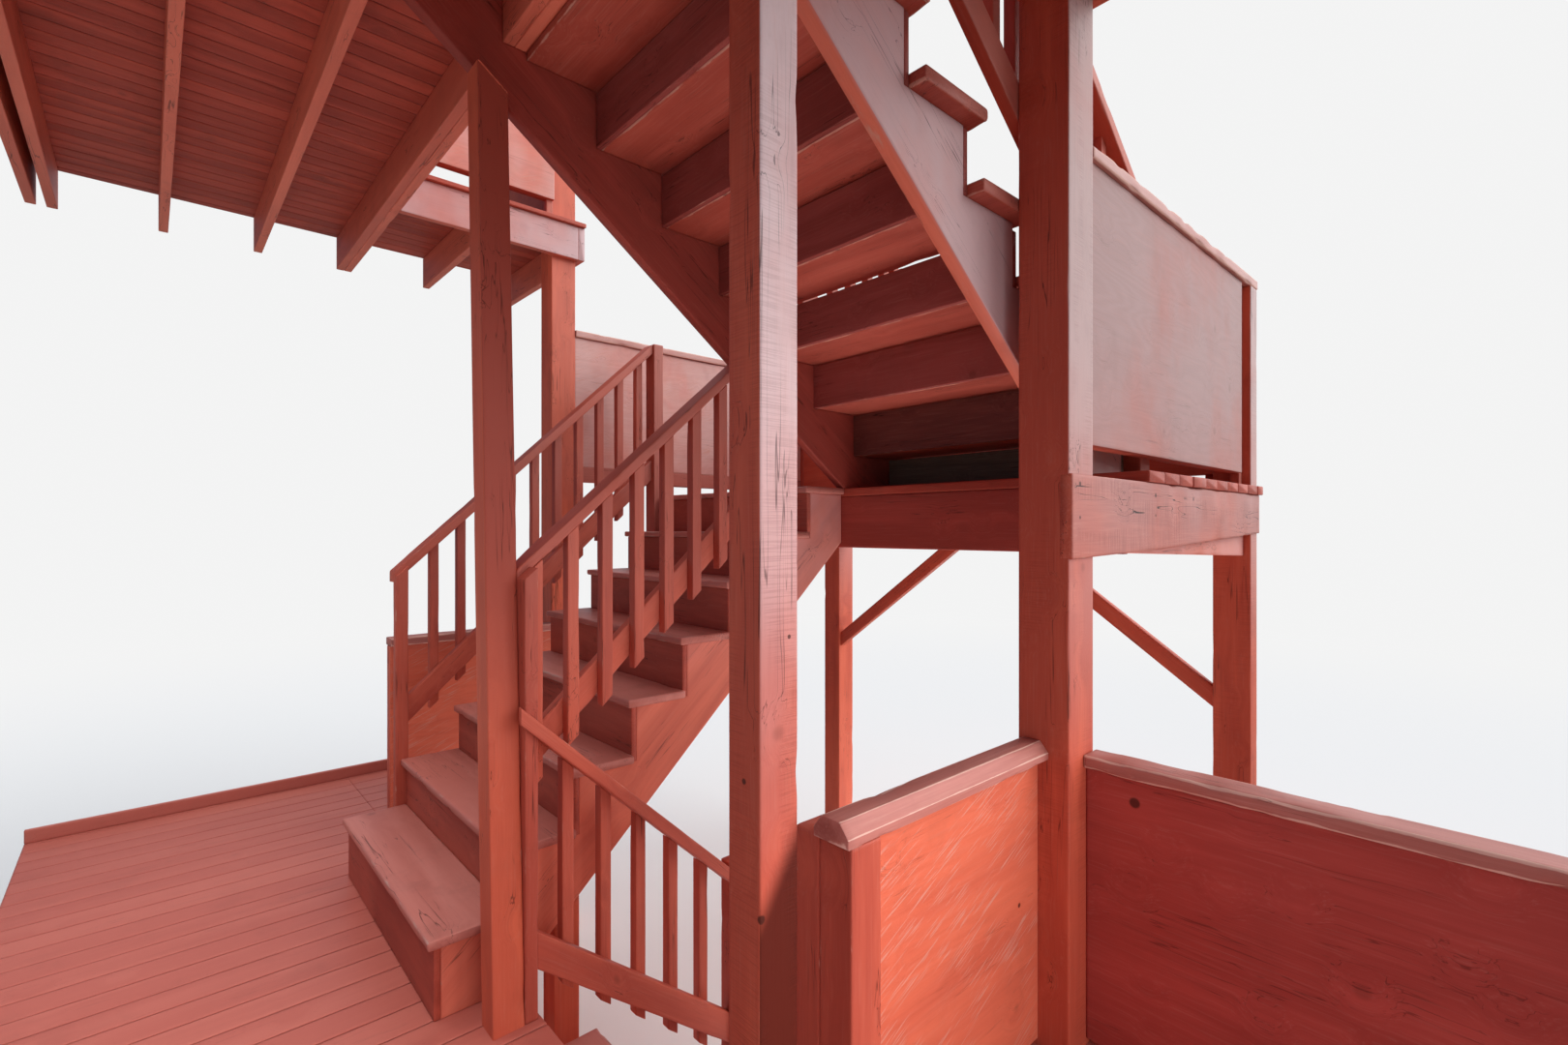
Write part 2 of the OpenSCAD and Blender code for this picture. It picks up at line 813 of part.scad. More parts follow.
placed() stair_posts();
placed() deck_posts();
placed() landing_posts();
placed() wall_walk_post();
placed() lower_joists();
placed() lower_beams();
placed() lower_rims();
placed() lower_floor_main();
placed() lower_floor_side();
placed() lower_floor_wall_walk();
placed() upper_joists();
placed() upper_beams();
placed() upper_rims();
placed() upper_floor_main();
placed() upper_floor_side();
placed() upper_floor_wall_walk();
placed() ground_flight_carriage();
placed() ground_flight_treads();
placed() lower_flight_carriage();
placed() lower_flight_treads();
placed() upper_flight_carriage();
placed() upper_flight_treads();
placed() landing_floor();
placed() landing_joists();
placed() landing_beam_inner();
placed() landing_beam_near();
placed() landing_beam_outer();
placed() landing_beam_far();
placed() landing_braces();
placed() ground_flight_railing();
placed() lower_flight_railing_near();
placed() lower_flight_railing_far();
placed() upper_flight_railing_near();
placed() upper_flight_railing_far();
placed() lower_guard_front();
placed() lower_guard_side();
placed() lower_guard_end();
placed() lower_guard_wall_walk();
placed() lower_guard_walk_end();
placed() landing_guard_near();
placed() landing_guard_outer();
placed() landing_guard_far();
placed() upper_guard_front();
placed() upper_guard_side();
placed() upper_guard_end();
placed() upper_guard_wall_walk();
placed() upper_guard_walk_end();
placed() upper_guard_well();
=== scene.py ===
"""Dresses the timber porch fire escape stair: painted posts, framing, floors, flights and guards.

Lengths are in millimetres on the plan that the part's source uses: x runs out from the house, y
towards the side wall, z up from the ground. They become metres, about the middle of the plan, as
each mesh is made.
"""
import math

import bpy
import numpy as np
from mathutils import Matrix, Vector


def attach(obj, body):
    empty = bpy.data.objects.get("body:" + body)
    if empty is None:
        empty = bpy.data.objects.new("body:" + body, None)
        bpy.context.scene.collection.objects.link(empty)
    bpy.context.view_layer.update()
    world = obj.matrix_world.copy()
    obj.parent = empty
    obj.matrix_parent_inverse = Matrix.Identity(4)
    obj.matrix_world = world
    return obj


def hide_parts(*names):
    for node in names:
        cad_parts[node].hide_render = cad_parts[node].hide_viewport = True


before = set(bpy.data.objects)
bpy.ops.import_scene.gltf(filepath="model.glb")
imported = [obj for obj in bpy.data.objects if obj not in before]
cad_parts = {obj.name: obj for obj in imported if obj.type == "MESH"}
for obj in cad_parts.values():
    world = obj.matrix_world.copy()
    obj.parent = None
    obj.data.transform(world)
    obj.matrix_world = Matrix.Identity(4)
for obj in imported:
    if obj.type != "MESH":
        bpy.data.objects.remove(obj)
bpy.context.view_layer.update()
scene = bpy.context.scene
scene.view_settings.view_transform = "Standard"

# View, light and floor
# The eye is level, 1.45 m above the lower deck, with a wide lens. A pale sky and one broad lamp
# light the stair from the yard's near corner, and flat lamps stand for the light that the decks,
# the ground and the house throw back.
plan_middle = np.array([1642.0, 1715.0, 0.0])
eye = np.array([0.0, 0.0, 2250.0])
view_direction = math.radians(47.66)


def metres(points):
    """Plan millimetres become metres about the middle of the plan."""
    return (np.asarray(points, float) - plan_middle) / 1000


camera = bpy.data.objects.new("eye", bpy.data.cameras.new("eye"))
camera.data.sensor_width = 36
camera.data.lens = 16.08
camera.data.shift_y = 0.0049
camera.location = metres(eye)
camera.rotation_euler = (math.pi / 2, 0, view_direction - math.pi / 2)
scene.collection.objects.link(camera)
scene.camera = camera

sky_white = 0.9


def add(tree, kind, inputs=(), **settings):
    """Adds a shader node. An input given as a socket is linked; any other value is set on it."""
    made = tree.nodes.new("ShaderNode" + kind)
    for key, value in settings.items():
        setattr(made, key, value)
    for key, value in dict(inputs).items():
        if isinstance(value, bpy.types.NodeSocket):
            tree.links.new(value, made.inputs[key])
        else:
            made.inputs[key].default_value = value
    return made


def calc(operation, a, b=0.0):
    """One sum on a socket and a number or a second socket."""
    return add(a.id_data, "Math", {0: a, 1: b}, operation=operation).outputs[0]


def times(a, b):
    """The product of a socket and a number or a second socket."""
    return calc("MULTIPLY", a, b)


def ramp(value, low, high):
    """Rises smoothly from 0 to 1 as the value goes from low to high."""
    inputs = {"Value": value, "From Min": low, "From Max": high}
    return add(value.id_data, "MapRange", inputs, interpolation_type="SMOOTHSTEP").outputs[0]


world = bpy.data.worlds.new("pale_sky")
world.use_nodes = True
tree = world.node_tree
tree.nodes.clear()
direction = add(tree, "TexCoord").outputs["Generated"]
end_side = (0.5, -0.76, 0.4)
yard_side = (0.87, -0.05, 0.5)
shade_glow = 0.14
end_glow = 0.95
yard_glow = 1.15
glow = 0.0
for side, most in ((end_side, end_glow), (yard_side, yard_glow)):
    towards = add(tree, "VectorMath", {0: direction, 1: side}, operation="DOT_PRODUCT")
    part = times(ramp(towards.outputs["Value"], 0.05, 0.95), most)
    glow = calc("ADD", part, glow)
open_light = add(tree, "Background", {"Color": (1.0, 0.98, 0.96, 1), "Strength": glow})
shade_light = add(tree, "Background", {"Color": (0.62, 0.92, 1.4, 1), "Strength": shade_glow})
sky_light = add(tree, "AddShader", {0: open_light.outputs[0], 1: shade_light.outputs[0]})
sky_seen = add(tree, "Background", {"Color": (sky_white, sky_white, sky_white, 1)})
seen = add(tree, "LightPath").outputs["Is Camera Ray"]
mixed = add(tree, "MixShader", {0: seen, 1: sky_light.outputs[0], 2: sky_seen.outputs[0]})
add(tree, "OutputWorld", {"Surface": mixed.outputs[0]})
scene.world = world

sun_energy = 1.0
lamp = bpy.data.objects.new("open_side", bpy.data.lights.new("open_side", "SUN"))
lamp.data.energy = sun_energy
lamp.data.angle = math.radians(50)
lamp.data.color = (1.0, 0.98, 0.95)
lamp.rotation_euler = (math.radians(62), 0, math.radians(30))
scene.collection.objects.link(lamp)


def soft_panel(name, centre, along, wide, deep, watts, cone=180):
    """A broad flat lamp that shines along a direction and that the camera doesn't see."""
    made = bpy.data.objects.new(name, bpy.data.lights.new(name, "AREA"))
    made.data.shape = "RECTANGLE"
    made.data.size = wide
    made.data.size_y = deep
    made.data.energy = watts
    made.data.spread = math.radians(cone)
    made.location = metres(centre)
    made.rotation_euler = Vector(along).to_track_quat("-Z", "Y").to_euler()
    made.visible_camera = False
    made.visible_glossy = False
    scene.collection.objects.link(made)


soft_panel("over_floor", (-20, 2600, 3660), (0, 0, -1), 0.9, 3.8, watts=18.0, cone=80)
soft_panel("deck_end", (1180, -1050, 1450), (0.05, 1, -0.03), 0.8, 1.0, watts=6.0, cone=90)
soft_panel("house_side", (-380, 2300, 2500), (1, 0.1, -0.25), 2.2, 1.6, watts=2.0)
soft_panel("yard_bounce", (3000, 1900, 20), (-0.15, 0, 1), 3.0, 5.0, watts=60.0)
soft_panel("well_bounce", (1750, 1700, 20), (0, 0, 1), 1.8, 2.2, watts=25.0, cone=110)
soft_panel("end_side", (250, -1000, 1500), (0.25, 0.97, -0.1), 1.2, 0.8, watts=3.5, cone=110)
soft_panel("floor_bounce", (350, 3400, 830), (0.1, 0, 1), 0.9, 2.2, watts=4.0, cone=80)

ground_mesh = bpy.data.meshes.new("pale_floor")
reach = 60.0
edge_points = [(-reach, -reach, 0), (reach, -reach, 0), (reach, reach, 0), (-reach, reach, 0)]
ground_mesh.from_pydata(edge_points, [], [(0, 1, 2, 3)])
ground = bpy.data.objects.new("pale_floor", ground_mesh)
scene.collection.objects.link(ground)
ground_paint = bpy.data.materials.new("pale_floor")
ground_paint.use_nodes = True
tree = ground_paint.node_tree
tree.nodes.clear()
place = add(tree, "TexCoord").outputs["Object"]
distance = add(tree, "VectorMath", {0: place}, operation="LENGTH").outputs["Value"]
seen = add(tree, "LightPath").outputs["Is Camera Ray"]
far = times(ramp(distance, 5.0, 16.0), seen)
matt = add(tree, "BsdfDiffuse", {"Color": (0.8, 0.8, 0.79, 1)})
dim = add(tree, "BsdfDiffuse", {"Color": (0.38, 0.355, 0.33, 1)})
shown = add(tree, "MixShader", {0: seen, 1: dim.outputs[0], 2: matt.outputs[0]})
haze = add(tree, "Emission", {"Color": (sky_white, sky_white, sky_white, 1)})
mixed = add(tree, "MixShader", {0: far, 1: shown.outputs[0], 2: haze.outputs[0]})
add(tree, "OutputMaterial", {"Surface": mixed.outputs[0]})
ground_mesh.materials.append(ground_paint)

# Posts
# Square sawn posts stand on the ground and carry every floor. They were brushed with red paint,
# which has lost colour where the sky reaches it, and a painted sky sheen pales their high faces
# turned to the open side. The wood has checked along the grain.
deck_z = 800
landing_z = 2443
upper_z = 3975
post_top = 4895
rng = np.random.default_rng(11)


def tint(red, green, blue):
    """Screen values of 0 to 255 become light: a straight line near black, then the power 2.4."""
    screen = np.array([red, green, blue]) / 255
    light = np.where(screen <= 0.04045, screen / 12.92, ((screen + 0.055) / 1.055) ** 2.4)
    return (*light, 1.0)


def group(name, inputs, outputs):
    """An empty node group. Its sockets are numbers, but Grain, Place and Facing are vectors."""
    made = bpy.data.node_groups.new(name, "ShaderNodeTree")
    for side, labels in (("INPUT", inputs), ("OUTPUT", outputs)):
        for label in labels:
            kind = "Vector" if label in ("Grain", "Place", "Facing") else "Float"
            made.interface.new_socket(label, in_out=side, socket_type="NodeSocket" + kind)
    return made, made.nodes.new("NodeGroupInput"), made.nodes.new("NodeGroupOutput")


def noise(place, stretch, detail, roughness=0.5, distortion=0.0):
    """Noise whose grains per metre are given for each axis."""
    tree = place.id_data
    scaled = add(tree, "Mapping", {"Vector": place, "Scale": stretch}).outputs[0]
    inputs = {"Vector": scaled, "Scale": 1.0, "Detail": detail, "Roughness": roughness,
              "Distortion": distortion}
    return add(tree, "TexNoise", inputs).outputs[0]


def sawn_grain():
    """Long fibres, broad bands, growth rings, drying checks, knots and saw marks of a board."""
    tree, given, out = group("sawn_grain", ["Grain"],
                             ["Fibre", "Band", "Ring", "Check", "Knot", "Saw"])
    grain = given.outputs["Grain"]
    cells = add(tree, "TexVoronoi", {"Vector": grain, "Scale": 5.5, "Randomness": 1.0})
    pick = add(tree, "SeparateColor", {0: cells.outputs["Color"]}).outputs[0]
    near = ramp(cells.outputs["Distance"], 0.12, 0.05)
    knot = times(near, ramp(pick, 0.78, 0.8))
    swirl = times(ramp(cells.outputs["Distance"], 0.45, 0.05), 0.03)
    bent = add(tree, "VectorMath", {0: grain, 1: swirl}, operation="ADD").outputs[0]
    fibre = noise(bent, (5.0, 170.0, 170.0), 4.0, 0.65)
    band = noise(bent, (1.1, 11.0, 11.0), 4.0, 0.55, 0.4)
    slow = noise(bent, (0.8, 6.5, 6.5), 2.0, 0.4, 0.3)
    ring = calc("SINE", times(slow, 95.0))
    ring = calc("ADD", times(ring, 0.5), 0.5)
    line = noise(bent, (1.3, 46.0, 46.0), 2.0)
    line = calc("ABSOLUTE", calc("SUBTRACT", line, 0.5))
    where = noise(bent, (2.2, 9.0, 9.0), 2.0)
    check = times(ramp(line, 0.011, 0.003), ramp(where, 0.52, 0.6))
    teeth = noise(grain, (330.0, 9.0, 9.0), 1.0)
    spread = noise(grain, (2.0, 14.0, 14.0), 2.0)
    saw = times(ramp(teeth, 0.45, 0.62), ramp(spread, 0.42, 0.62))
    for label, value in zip(("Fibre", "Band", "Ring", "Check", "Knot", "Saw"),
                            (fibre, band, ring, check, knot, saw)):
        tree.links.new(value, out.inputs[label])
    return tree


def worn_edge():
    """Paint rubbed off along a rounded edge, broken up by noise."""
    tree, given, out = group("worn_edge", ["Grain", "Rim", "Amount"], ["Worn"])
    patches = noise(given.outputs["Grain"], (9.0, 26.0, 26.0), 4.0, 0.6)
    total = times(given.outputs["Rim"], given.outputs["Amount"])
    total = calc("ADD", total, calc("SUBTRACT", patches, 0.5))
    tree.links.new(ramp(total, 0.34, 0.5), out.inputs["Worn"])
    return tree


def weather_and_sheen():
    """Paint fading and a painted sky sheen grow with height and on faces turned to the open side;
    grime gathers in patches.
    """
    tree, given, out = group("weather_and_sheen", ["Place", "Facing"], ["Bleach", "Grime"])
    place = add(tree, "SeparateXYZ", {0: given.outputs["Place"]})
    facing = add(tree, "SeparateXYZ", {0: given.outputs["Facing"]})
    height = ramp(place.outputs["Z"], 1.5, 2.9)
    shade = ramp(facing.outputs["Y"], -0.2, -0.8)
    cloud = noise(given.outputs["Place"], (1.6, 1.6, 1.1), 4.0, 0.6)
    broken = times(ramp(cloud, 0.15, 0.6), height)
    fade_and_sheen = times(broken, shade)
    dirt = noise(given.outputs["Place"], (5.0, 5.0, 3.0), 5.0, 0.65)
    tree.links.new(fade_and_sheen, out.inputs["Bleach"])
    tree.links.new(ramp(dirt, 0.5, 0.75), out.inputs["Grime"])
    return tree


grain_group = sawn_grain()
edge_group = worn_edge()
weather_and_sheen_group = weather_and_sheen()


def blend(share, first, second, way="MIX"):
    """Goes from the first colour to the second, or to their product, as the share goes to 1."""
    return add(share.id_data, "Mix", {0: share, 6: first, 7: second}, data_type="RGBA",
               blend_type=way).outputs[2]


def old_paint(name, coat, deep, faded_and_sheen, bare=(206, 150, 132), fade_and_sheen=0.9, fibre=0.12, ring=0.0,
              wear=0.4, check=0.6, knot=0.3, grime=0.12, rough=0.52, relief=0.5, gloss=0.28,
              saw=0.0, knots=(), foot=None, scratch=0.0):
    """Weathered paint on wood: coat and deep shades follow the grain, then fading with a painted
    sky sheen, wear and dirt. Colours are screen values. knots are single ones at known places, with
    their radius, and foot paints shade over one end of the faces turned to the open side: the slope
    and height of its edge in metres, the edge's softness, which is below nought for an upper end,
    and the colour of the painted shade."""
    coat, deep, faded_and_sheen, bare = (tint(*shade) for shade in (coat, deep, faded_and_sheen, bare))
    made = bpy.data.materials.new(name)
    made.use_nodes = True
    tree = made.node_tree
    tree.nodes.clear()
    grain = add(tree, "Attribute", attribute_name="grain").outputs["Vector"]
    rim = add(tree, "Attribute", attribute_name="rim").outputs["Fac"]
    tone = add(tree, "Attribute", attribute_name="tone").outputs["Fac"]
    place = add(tree, "TexCoord").outputs["Object"]
    facing = add(tree, "NewGeometry").outputs["Normal"]
    wood = add(tree, "Group", {"Grain": grain}, node_tree=grain_group).outputs
    worn = add(tree, "Group", {"Grain": grain, "Rim": rim, "Amount": wear},
               node_tree=edge_group).outputs["Worn"]
    sun = add(tree, "Group", {"Place": place, "Facing": facing},
              node_tree=weather_and_sheen_group).outputs
    paler = times(calc("SUBTRACT", tone, 0.5), 0.25)
    light = ramp(calc("ADD", wood["Band"], paler), 0.3, 0.72)
    colour = blend(light, deep, coat)
    # Painted sheen: besides real fading, this pale colour stands for sky glare on high faces turned
    # to the open side.
    colour = blend(times(sun["Bleach"], fade_and_sheen), colour, faded_and_sheen)
    thin = times(ramp(wood["Fibre"], 0.5, 0.72), fibre)
    colour = blend(thin, colour, bare)
    stripe = times(ramp(wood["Fibre"], 0.5, 0.3), fibre)
    colour = blend(stripe, colour, (0.6, 0.5, 0.5, 1), "MULTIPLY")
    if ring:
        figure = times(wood["Ring"], ring)
        colour = blend(figure, colour, (0.74, 0.62, 0.6, 1), "MULTIPLY")
    colour = blend(times(sun["Grime"], grime), colour, tint(74, 50, 42))
    colour = blend(times(wood["Knot"], knot), colour, tint(80, 40, 32))
    colour = blend(worn, colour, bare)
    if scratch or foot:
        side = add(tree, "SeparateXYZ", {0: facing}).outputs["Y"]
        front = ramp(side, -0.3, -0.7)
    if scratch:
        turned = add(tree, "VectorRotate", {"Vector": place, "Angle": 0.4},
                     rotation_type="Y_AXIS").outputs[0]
        line = noise(turned, (9.0, 9.0, 250.0), 1.0)
        where = noise(turned, (5.0, 5.0, 5.0), 2.0)
        marks = times(ramp(line, 0.6, 0.66), ramp(where, 0.36, 0.52))
        marks = times(marks, front)
        colour = blend(times(marks, scratch), colour, bare)
    # Painted shade: on faces turned to the open side, a darker colour on one side of a sloping line
    # stands for a shadow cast on the post.
    if foot:
        slope, level, soft, shade = foot
        parts = add(tree, "SeparateXYZ", {0: place}).outputs
        line = calc("SUBTRACT", parts["Z"], times(parts["X"], slope))
        low = times(ramp(line, level + soft, level - soft), front)
        colour = blend(low, colour, tint(*shade))
    for x, y, z, size in knots:
        spot = add(tree, "VectorMath", {0: place, 1: tuple(metres((x, y, z)))},
                   operation="DISTANCE").outputs["Value"]
        spot = times(ramp(spot, size / 1000, 0.6 * size / 1000), 0.85)
        colour = blend(spot, colour, tint(62, 28, 22))
    cracks = times(wood["Check"], check)
    colour = blend(cracks, colour, tint(45, 22, 18))
    cuts = times(wood["Saw"], saw)
    colour = blend(cuts, colour, (0.62, 0.52, 0.52, 1), "MULTIPLY")
    height = times(wood["Fibre"], 0.5)
    for hollow in (times(cracks, 1.4), cuts, times(worn, 0.35)):
        height = calc("SUBTRACT", height, hollow)
    height = calc("ADD", height, times(wood["Ring"], 0.5 * ring))
    bump = add(tree, "Bump", {"Height": height, "Strength": relief, "Distance": 0.0016})
    dull = calc("ADD", times(worn, 0.2), times(wood["Fibre"], 0.16))
    surface = add(tree, "BsdfPrincipled",
                  {"Base Color": colour, "Roughness": calc("ADD", dull, rough - 0.08),
                   "Normal": bump.outputs[0], "Specular IOR Level": gloss})
    add(tree, "OutputMaterial", {"Surface": surface.outputs[0]})
    return made


widest_step = 7.0


def side_points(length, radius):
    """Places along one side of a section: where each rounded end stops, and one just past it."""
    inner = min(widest_step, (length - 2 * radius) / 3)
    return np.array([radius, radius + inner, length - radius - inner, length - radius])


def section(width, height, radius):
    """Rounded rectangle, anticlockwise, with four points on each side and one on each arc. The
    third array is 1 on an arc, 0.7 where it meets a side and 0 on the flats."""
    a = side_points(width, radius)
    b = side_points(height, radius)
    k = radius * (1 - math.sqrt(0.5))
    v = np.concatenate([a, [width - k], np.full(4, width), [width - k],
                        a[::-1], [k], np.zeros(4), [k]])
    w = np.concatenate([np.zeros(4), [k], b, [height - k],
                        np.full(4, height), [height - k], b[::-1], [k]])
    return v, w, np.tile([0.7, 0.0, 0.0, 0.7, 1.0], 4)


def bites(s, per_metre, deepest):
    """Depth of the chips along one edge: the highest of many bell curves at random places."""
    length = s[-1]
    count = rng.poisson(per_metre * length / 1000)
    centre = rng.uniform(0, length, (count, 1))
    half = rng.uniform(8, 45, (count, 1))
    depth = rng.uniform(0.3, 1.0, (count, 1)) * deepest
    return (depth * np.exp(-((s - centre) / half) ** 2)).max(axis=0, initial=0.0)


corner_in = np.array([[-1, 1], [-1, -1], [1, -1], [1, 1]])


def swept(s, v, w, rim, at, along, across, up):
    """A closed outline carried along a line. s, v and w are grids of stations by outline points,
    and a point lies at the corner plus s, v and w times the three directions."""
    stations, points = v.shape
    spot = at + s[..., None] * along + v[..., None] * across + w[..., None] * up
    i, j = np.meshgrid(np.arange(stations - 1), np.arange(points), indexing="ij")
    k = (j + 1) % points
    quads = np.stack([i * points + j, i * points + k, (i + 1) * points + k,
                      (i + 1) * points + j], axis=-1).reshape(-1, 4)
    ends = [np.arange(points)[::-1], np.arange(points) + (stations - 1) * points]
    if np.linalg.det([across, up, along]) < 0:
        quads = quads[:, ::-1]
        ends = [e[::-1] for e in ends]
    grain = np.stack([s, v, w], axis=-1).reshape(-1, 3) + rng.uniform(0, 40000, 3)
    tone = np.full(stations * points, rng.uniform())
    return spot.reshape(-1, 3), quads, ends, grain / 1000, rim.reshape(-1), tone


def board(at, along, across, up, radius=3.0, step=80.0, chips=0.0, chip_depth=5.0, head=0.0,
          shape=None, wave=0.6):
    """A sawn board from one corner along three edges. Its section is a rounded rectangle, its
    ends are nicked, and chips bite into its long edges; head slopes its far end."""
    at, along, across, up = (np.array(x, float) for x in (at, along, across, up))
    length, width, height = (np.linalg.norm(x) for x in (along, across, up))
    v, w, rim = section(width, height, radius)
    nick = min(radius, 2.5)
    strip = min(nick + 7, length / 3)
    count = max(1, round(length / step))
    s = np.concatenate([[0.0, nick], np.linspace(strip, length - strip, count + 1),
                        [length - nick, length]])
    rims = np.tile(rim, (len(s), 1))
    rims[[1, -2]] = np.maximum(rim, 0.7)
    rims[[0, -1]] = 0.0
    s_grid = np.tile(s[:, None], (1, len(v)))
    v_grid = np.tile(v, (len(s), 1))
    w_grid = np.tile(w, (len(s), 1))
    thin = wave * (0.5 + 0.25 * np.sin(s / rng.uniform(60, 160) + rng.uniform(0, 6))
                   + 0.25 * np.sin(s / rng.uniform(250, 600) + rng.uniform(0, 6)))[:, None]
    v_grid += (1 - 2 * v_grid / width) * thin
    w_grid += (1 - 2 * w_grid / height) * thin
    if chips:
        for corner in range(4):
            bite = bites(s, chips, chip_depth)
            around = ((5 * corner + 3, 0.45), (5 * corner + 4, 0.75), (5 * corner + 5, 0.45))
            for point, share in around:
                v_grid[:, point % 20] += corner_in[corner, 0] * bite * share
                w_grid[:, point % 20] += corner_in[corner, 1] * bite * share
    if shape:
        s_grid, v_grid, w_grid = shape(s_grid, v_grid, w_grid)
    for end in (0, -1):
        v_grid[end] = nick + v_grid[end] * (1 - 2 * nick / width)
        w_grid[end] = nick + w_grid[end] * (1 - 2 * nick / height)
    if head:
        s_grid = s_grid + s_grid / length * head * v_grid / width
    return swept(s_grid, v_grid, w_grid, rims, at, along / length, across / width, up / height)


def bar(low, high, lie="x", **more):
    """A board that fills the box between two corners, with its grain along x, y or z."""
    low, high = np.array(low, float), np.array(high, float)
    order = {"x": (0, 1, 2), "y": (1, 2, 0), "z": (2, 0, 1)}[lie]
    edges = [np.eye(3)[axis] * (high - low)[axis] for axis in order]
    return board(low, *edges, **more)


def piece(name, boards, material, slot, *nodes):
    """Joins boards into one mesh in the row frame, with each point's place in its own board as
    the attribute grain, rounded edges as rim and one number for each board as tone."""
    points, quads, caps, start = [], [], [], 0
    for spot, faces, ends, *_ in boards:
        points.append(spot)
        quads.append(faces + start)
        caps += [(end + start).tolist() for end in ends]
        start += len(spot)
    mesh = bpy.data.meshes.new(name)
    mesh.from_pydata(metres(np.concatenate(points)), [], np.concatenate(quads).tolist() + caps)
    for label, kind, key, index in (("grain", "FLOAT_VECTOR", "vector", 3),
                                    ("rim", "FLOAT", "value", 4), ("tone", "FLOAT", "value", 5)):
        layer = mesh.attributes.new(label, kind, "POINT")
        values = np.concatenate([b[index] for b in boards]).astype(np.float32)
        layer.data.foreach_set(key, values.ravel())
    mesh.polygons.foreach_set("use_smooth", np.ones(len(mesh.polygons), bool))
    mesh.set_sharp_from_angle(angle=math.radians(50))
    mesh.materials.append(material)
    made = bpy.data.objects.new(name, mesh)
    scene.collection.objects.link(made)
    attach(made, "root")
    if nodes:
        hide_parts(*nodes)


def named(name, boards, material, slot):
    """A piece that stands for the node of the same name."""
    piece(name, boards, material, slot, name)


post_paint = old_paint("red_post_paint", (206, 98, 72), (184, 80, 60), (186, 164, 163),
                       wear=0.24, saw=0.25)
# A copy of the post paint with a lighter coat and only a little of the fading and painted sheen,
# set for the light at posts that stand under the decks.
sheltered_paint = old_paint("red_post_paint_sheltered", (224, 112, 82), (198, 92, 68),
                            (190, 130, 120), fade_and_sheen=0.3, wear=0.2)
posts = (post_paint, "painted_posts")
post_chips = dict(radius=3.5, step=45.0, chips=1.2, chip_depth=4.0, wave=0.35)
board_t = 38
beam_back = 946
post_x = 1856
post_y = 886
post_w = 150
well_y = post_y + post_w
walk_x = 1797
walk_y = 3686
walk_post_w = 140
outer_x = 3653
landing_post_x = 3560
near_post_back = 1034
far_post_y = 3338

# Some posts are cut to the stringers of the two long flights, so the sizes of their steps come here
riser_t = 20
low_foot = 626
low_going = 219
low_first = 250
low_rise = 199
low_deep = 233
up_foot = 2723
up_going = 261
up_rise = 191.5
up_deep = 240


def upright(low, high):
    """A sawn post that fills the box between two corners."""
    return bar(low, high, "z", **post_chips)


def post(x, y, side, top):
    """A square post that stands on the ground."""
    return upright((x, y, 0), (x + side, y + side, top))


def leaning(low, slope):
    """A shape for a post that leans along w above this height."""
    def lean(s, v, w):
        return s, v, w + np.maximum(s - low, 0) * slope
    return lean


def low_under(x):
    """Height of the lower stringers' underside."""
    run = x - low_foot - low_going - riser_t
    return deck_z + low_first - low_deep + run * low_rise / low_going


def up_under(x):
    """Height of the upper stringers' underside."""
    run = up_foot - x - up_going - riser_t
    return landing_z + up_rise - up_deep + run * up_rise / up_going


def headed(x, y, side, under, **more):
    """A square post whose head is cut to a sloping underside."""
    top = under(x)
    return board((x, y, 0), (0, 0, top), (side, 0, 0), (0, side, 0), head=under(x + side) - top,
                 **post_chips, **more)


# The stair post's very pale colour high up is painted sky glare on its open face, and its foot
# setting paints a shadow, dark below a sloping line, low on that face.
stair_post_paint = old_paint("red_stair_post_paint", (206, 98, 72), (184, 80, 60),
                             (242, 227, 230), wear=0.24, saw=0.3,
                             knots=((808, 946, 1557, 10), (805, 992, 1792, 7), (875, 946, 2054, 5)),
                             foot=(1.562, 2.866, 0.05, (88, 31, 22)))
named("stair_posts", [post(805, beam_back, 92, post_top)], stair_post_paint, "painted_posts")
# The leaning post's paint has little fading and painted sheen, and its foot setting paints shade: a
# duller colour that grows on its open face from 1.2 m to 2.4 m above the ground, for the shadow of
# the flights over it.
leaning_paint = old_paint("red_leaning_post_paint", (222, 110, 80), (198, 92, 68),
                          (170, 110, 104), fade_and_sheen=0.3, wear=0.2,
                          foot=(0.0, 1.8, -0.6, (164, 76, 62)))
piece("leaning_stair_post", [headed(728, 2024, 92, up_under, shape=leaning(deck_z, 0.045))],
      leaning_paint, "painted_posts")
# The props take the copy of the post paint that is set for the light under the flight.
piece("lower_flight_props", [headed(996, y, 89, low_under) for y in (2218, 3301)], *posts)
named("deck_posts", [post(post_x, y, post_w, post_top) for y in (post_y, -1314)], *posts)
named("landing_posts",
      [upright((landing_post_x, post_y, 0), (outer_x, near_post_back, 3319)),
       post(landing_post_x, far_post_y, 140, 2170)], *posts)
named("wall_walk_post",
      [post(walk_x - walk_post_w, walk_y + board_t, walk_post_w, post_top)],
      sheltered_paint, "painted_posts")

# Deck framing
# Each deck has joists from the doubled beams to the side wall, a doubled header along the
# stairwell and rims round its open sides. The boards are nailed, and painted with the rest.
frame_paint = old_paint("red_frame_paint", (220, 118, 94), (198, 100, 80),
                        (206, 186, 190), (204, 144, 126), fade_and_sheen=0.85, wear=0.24)
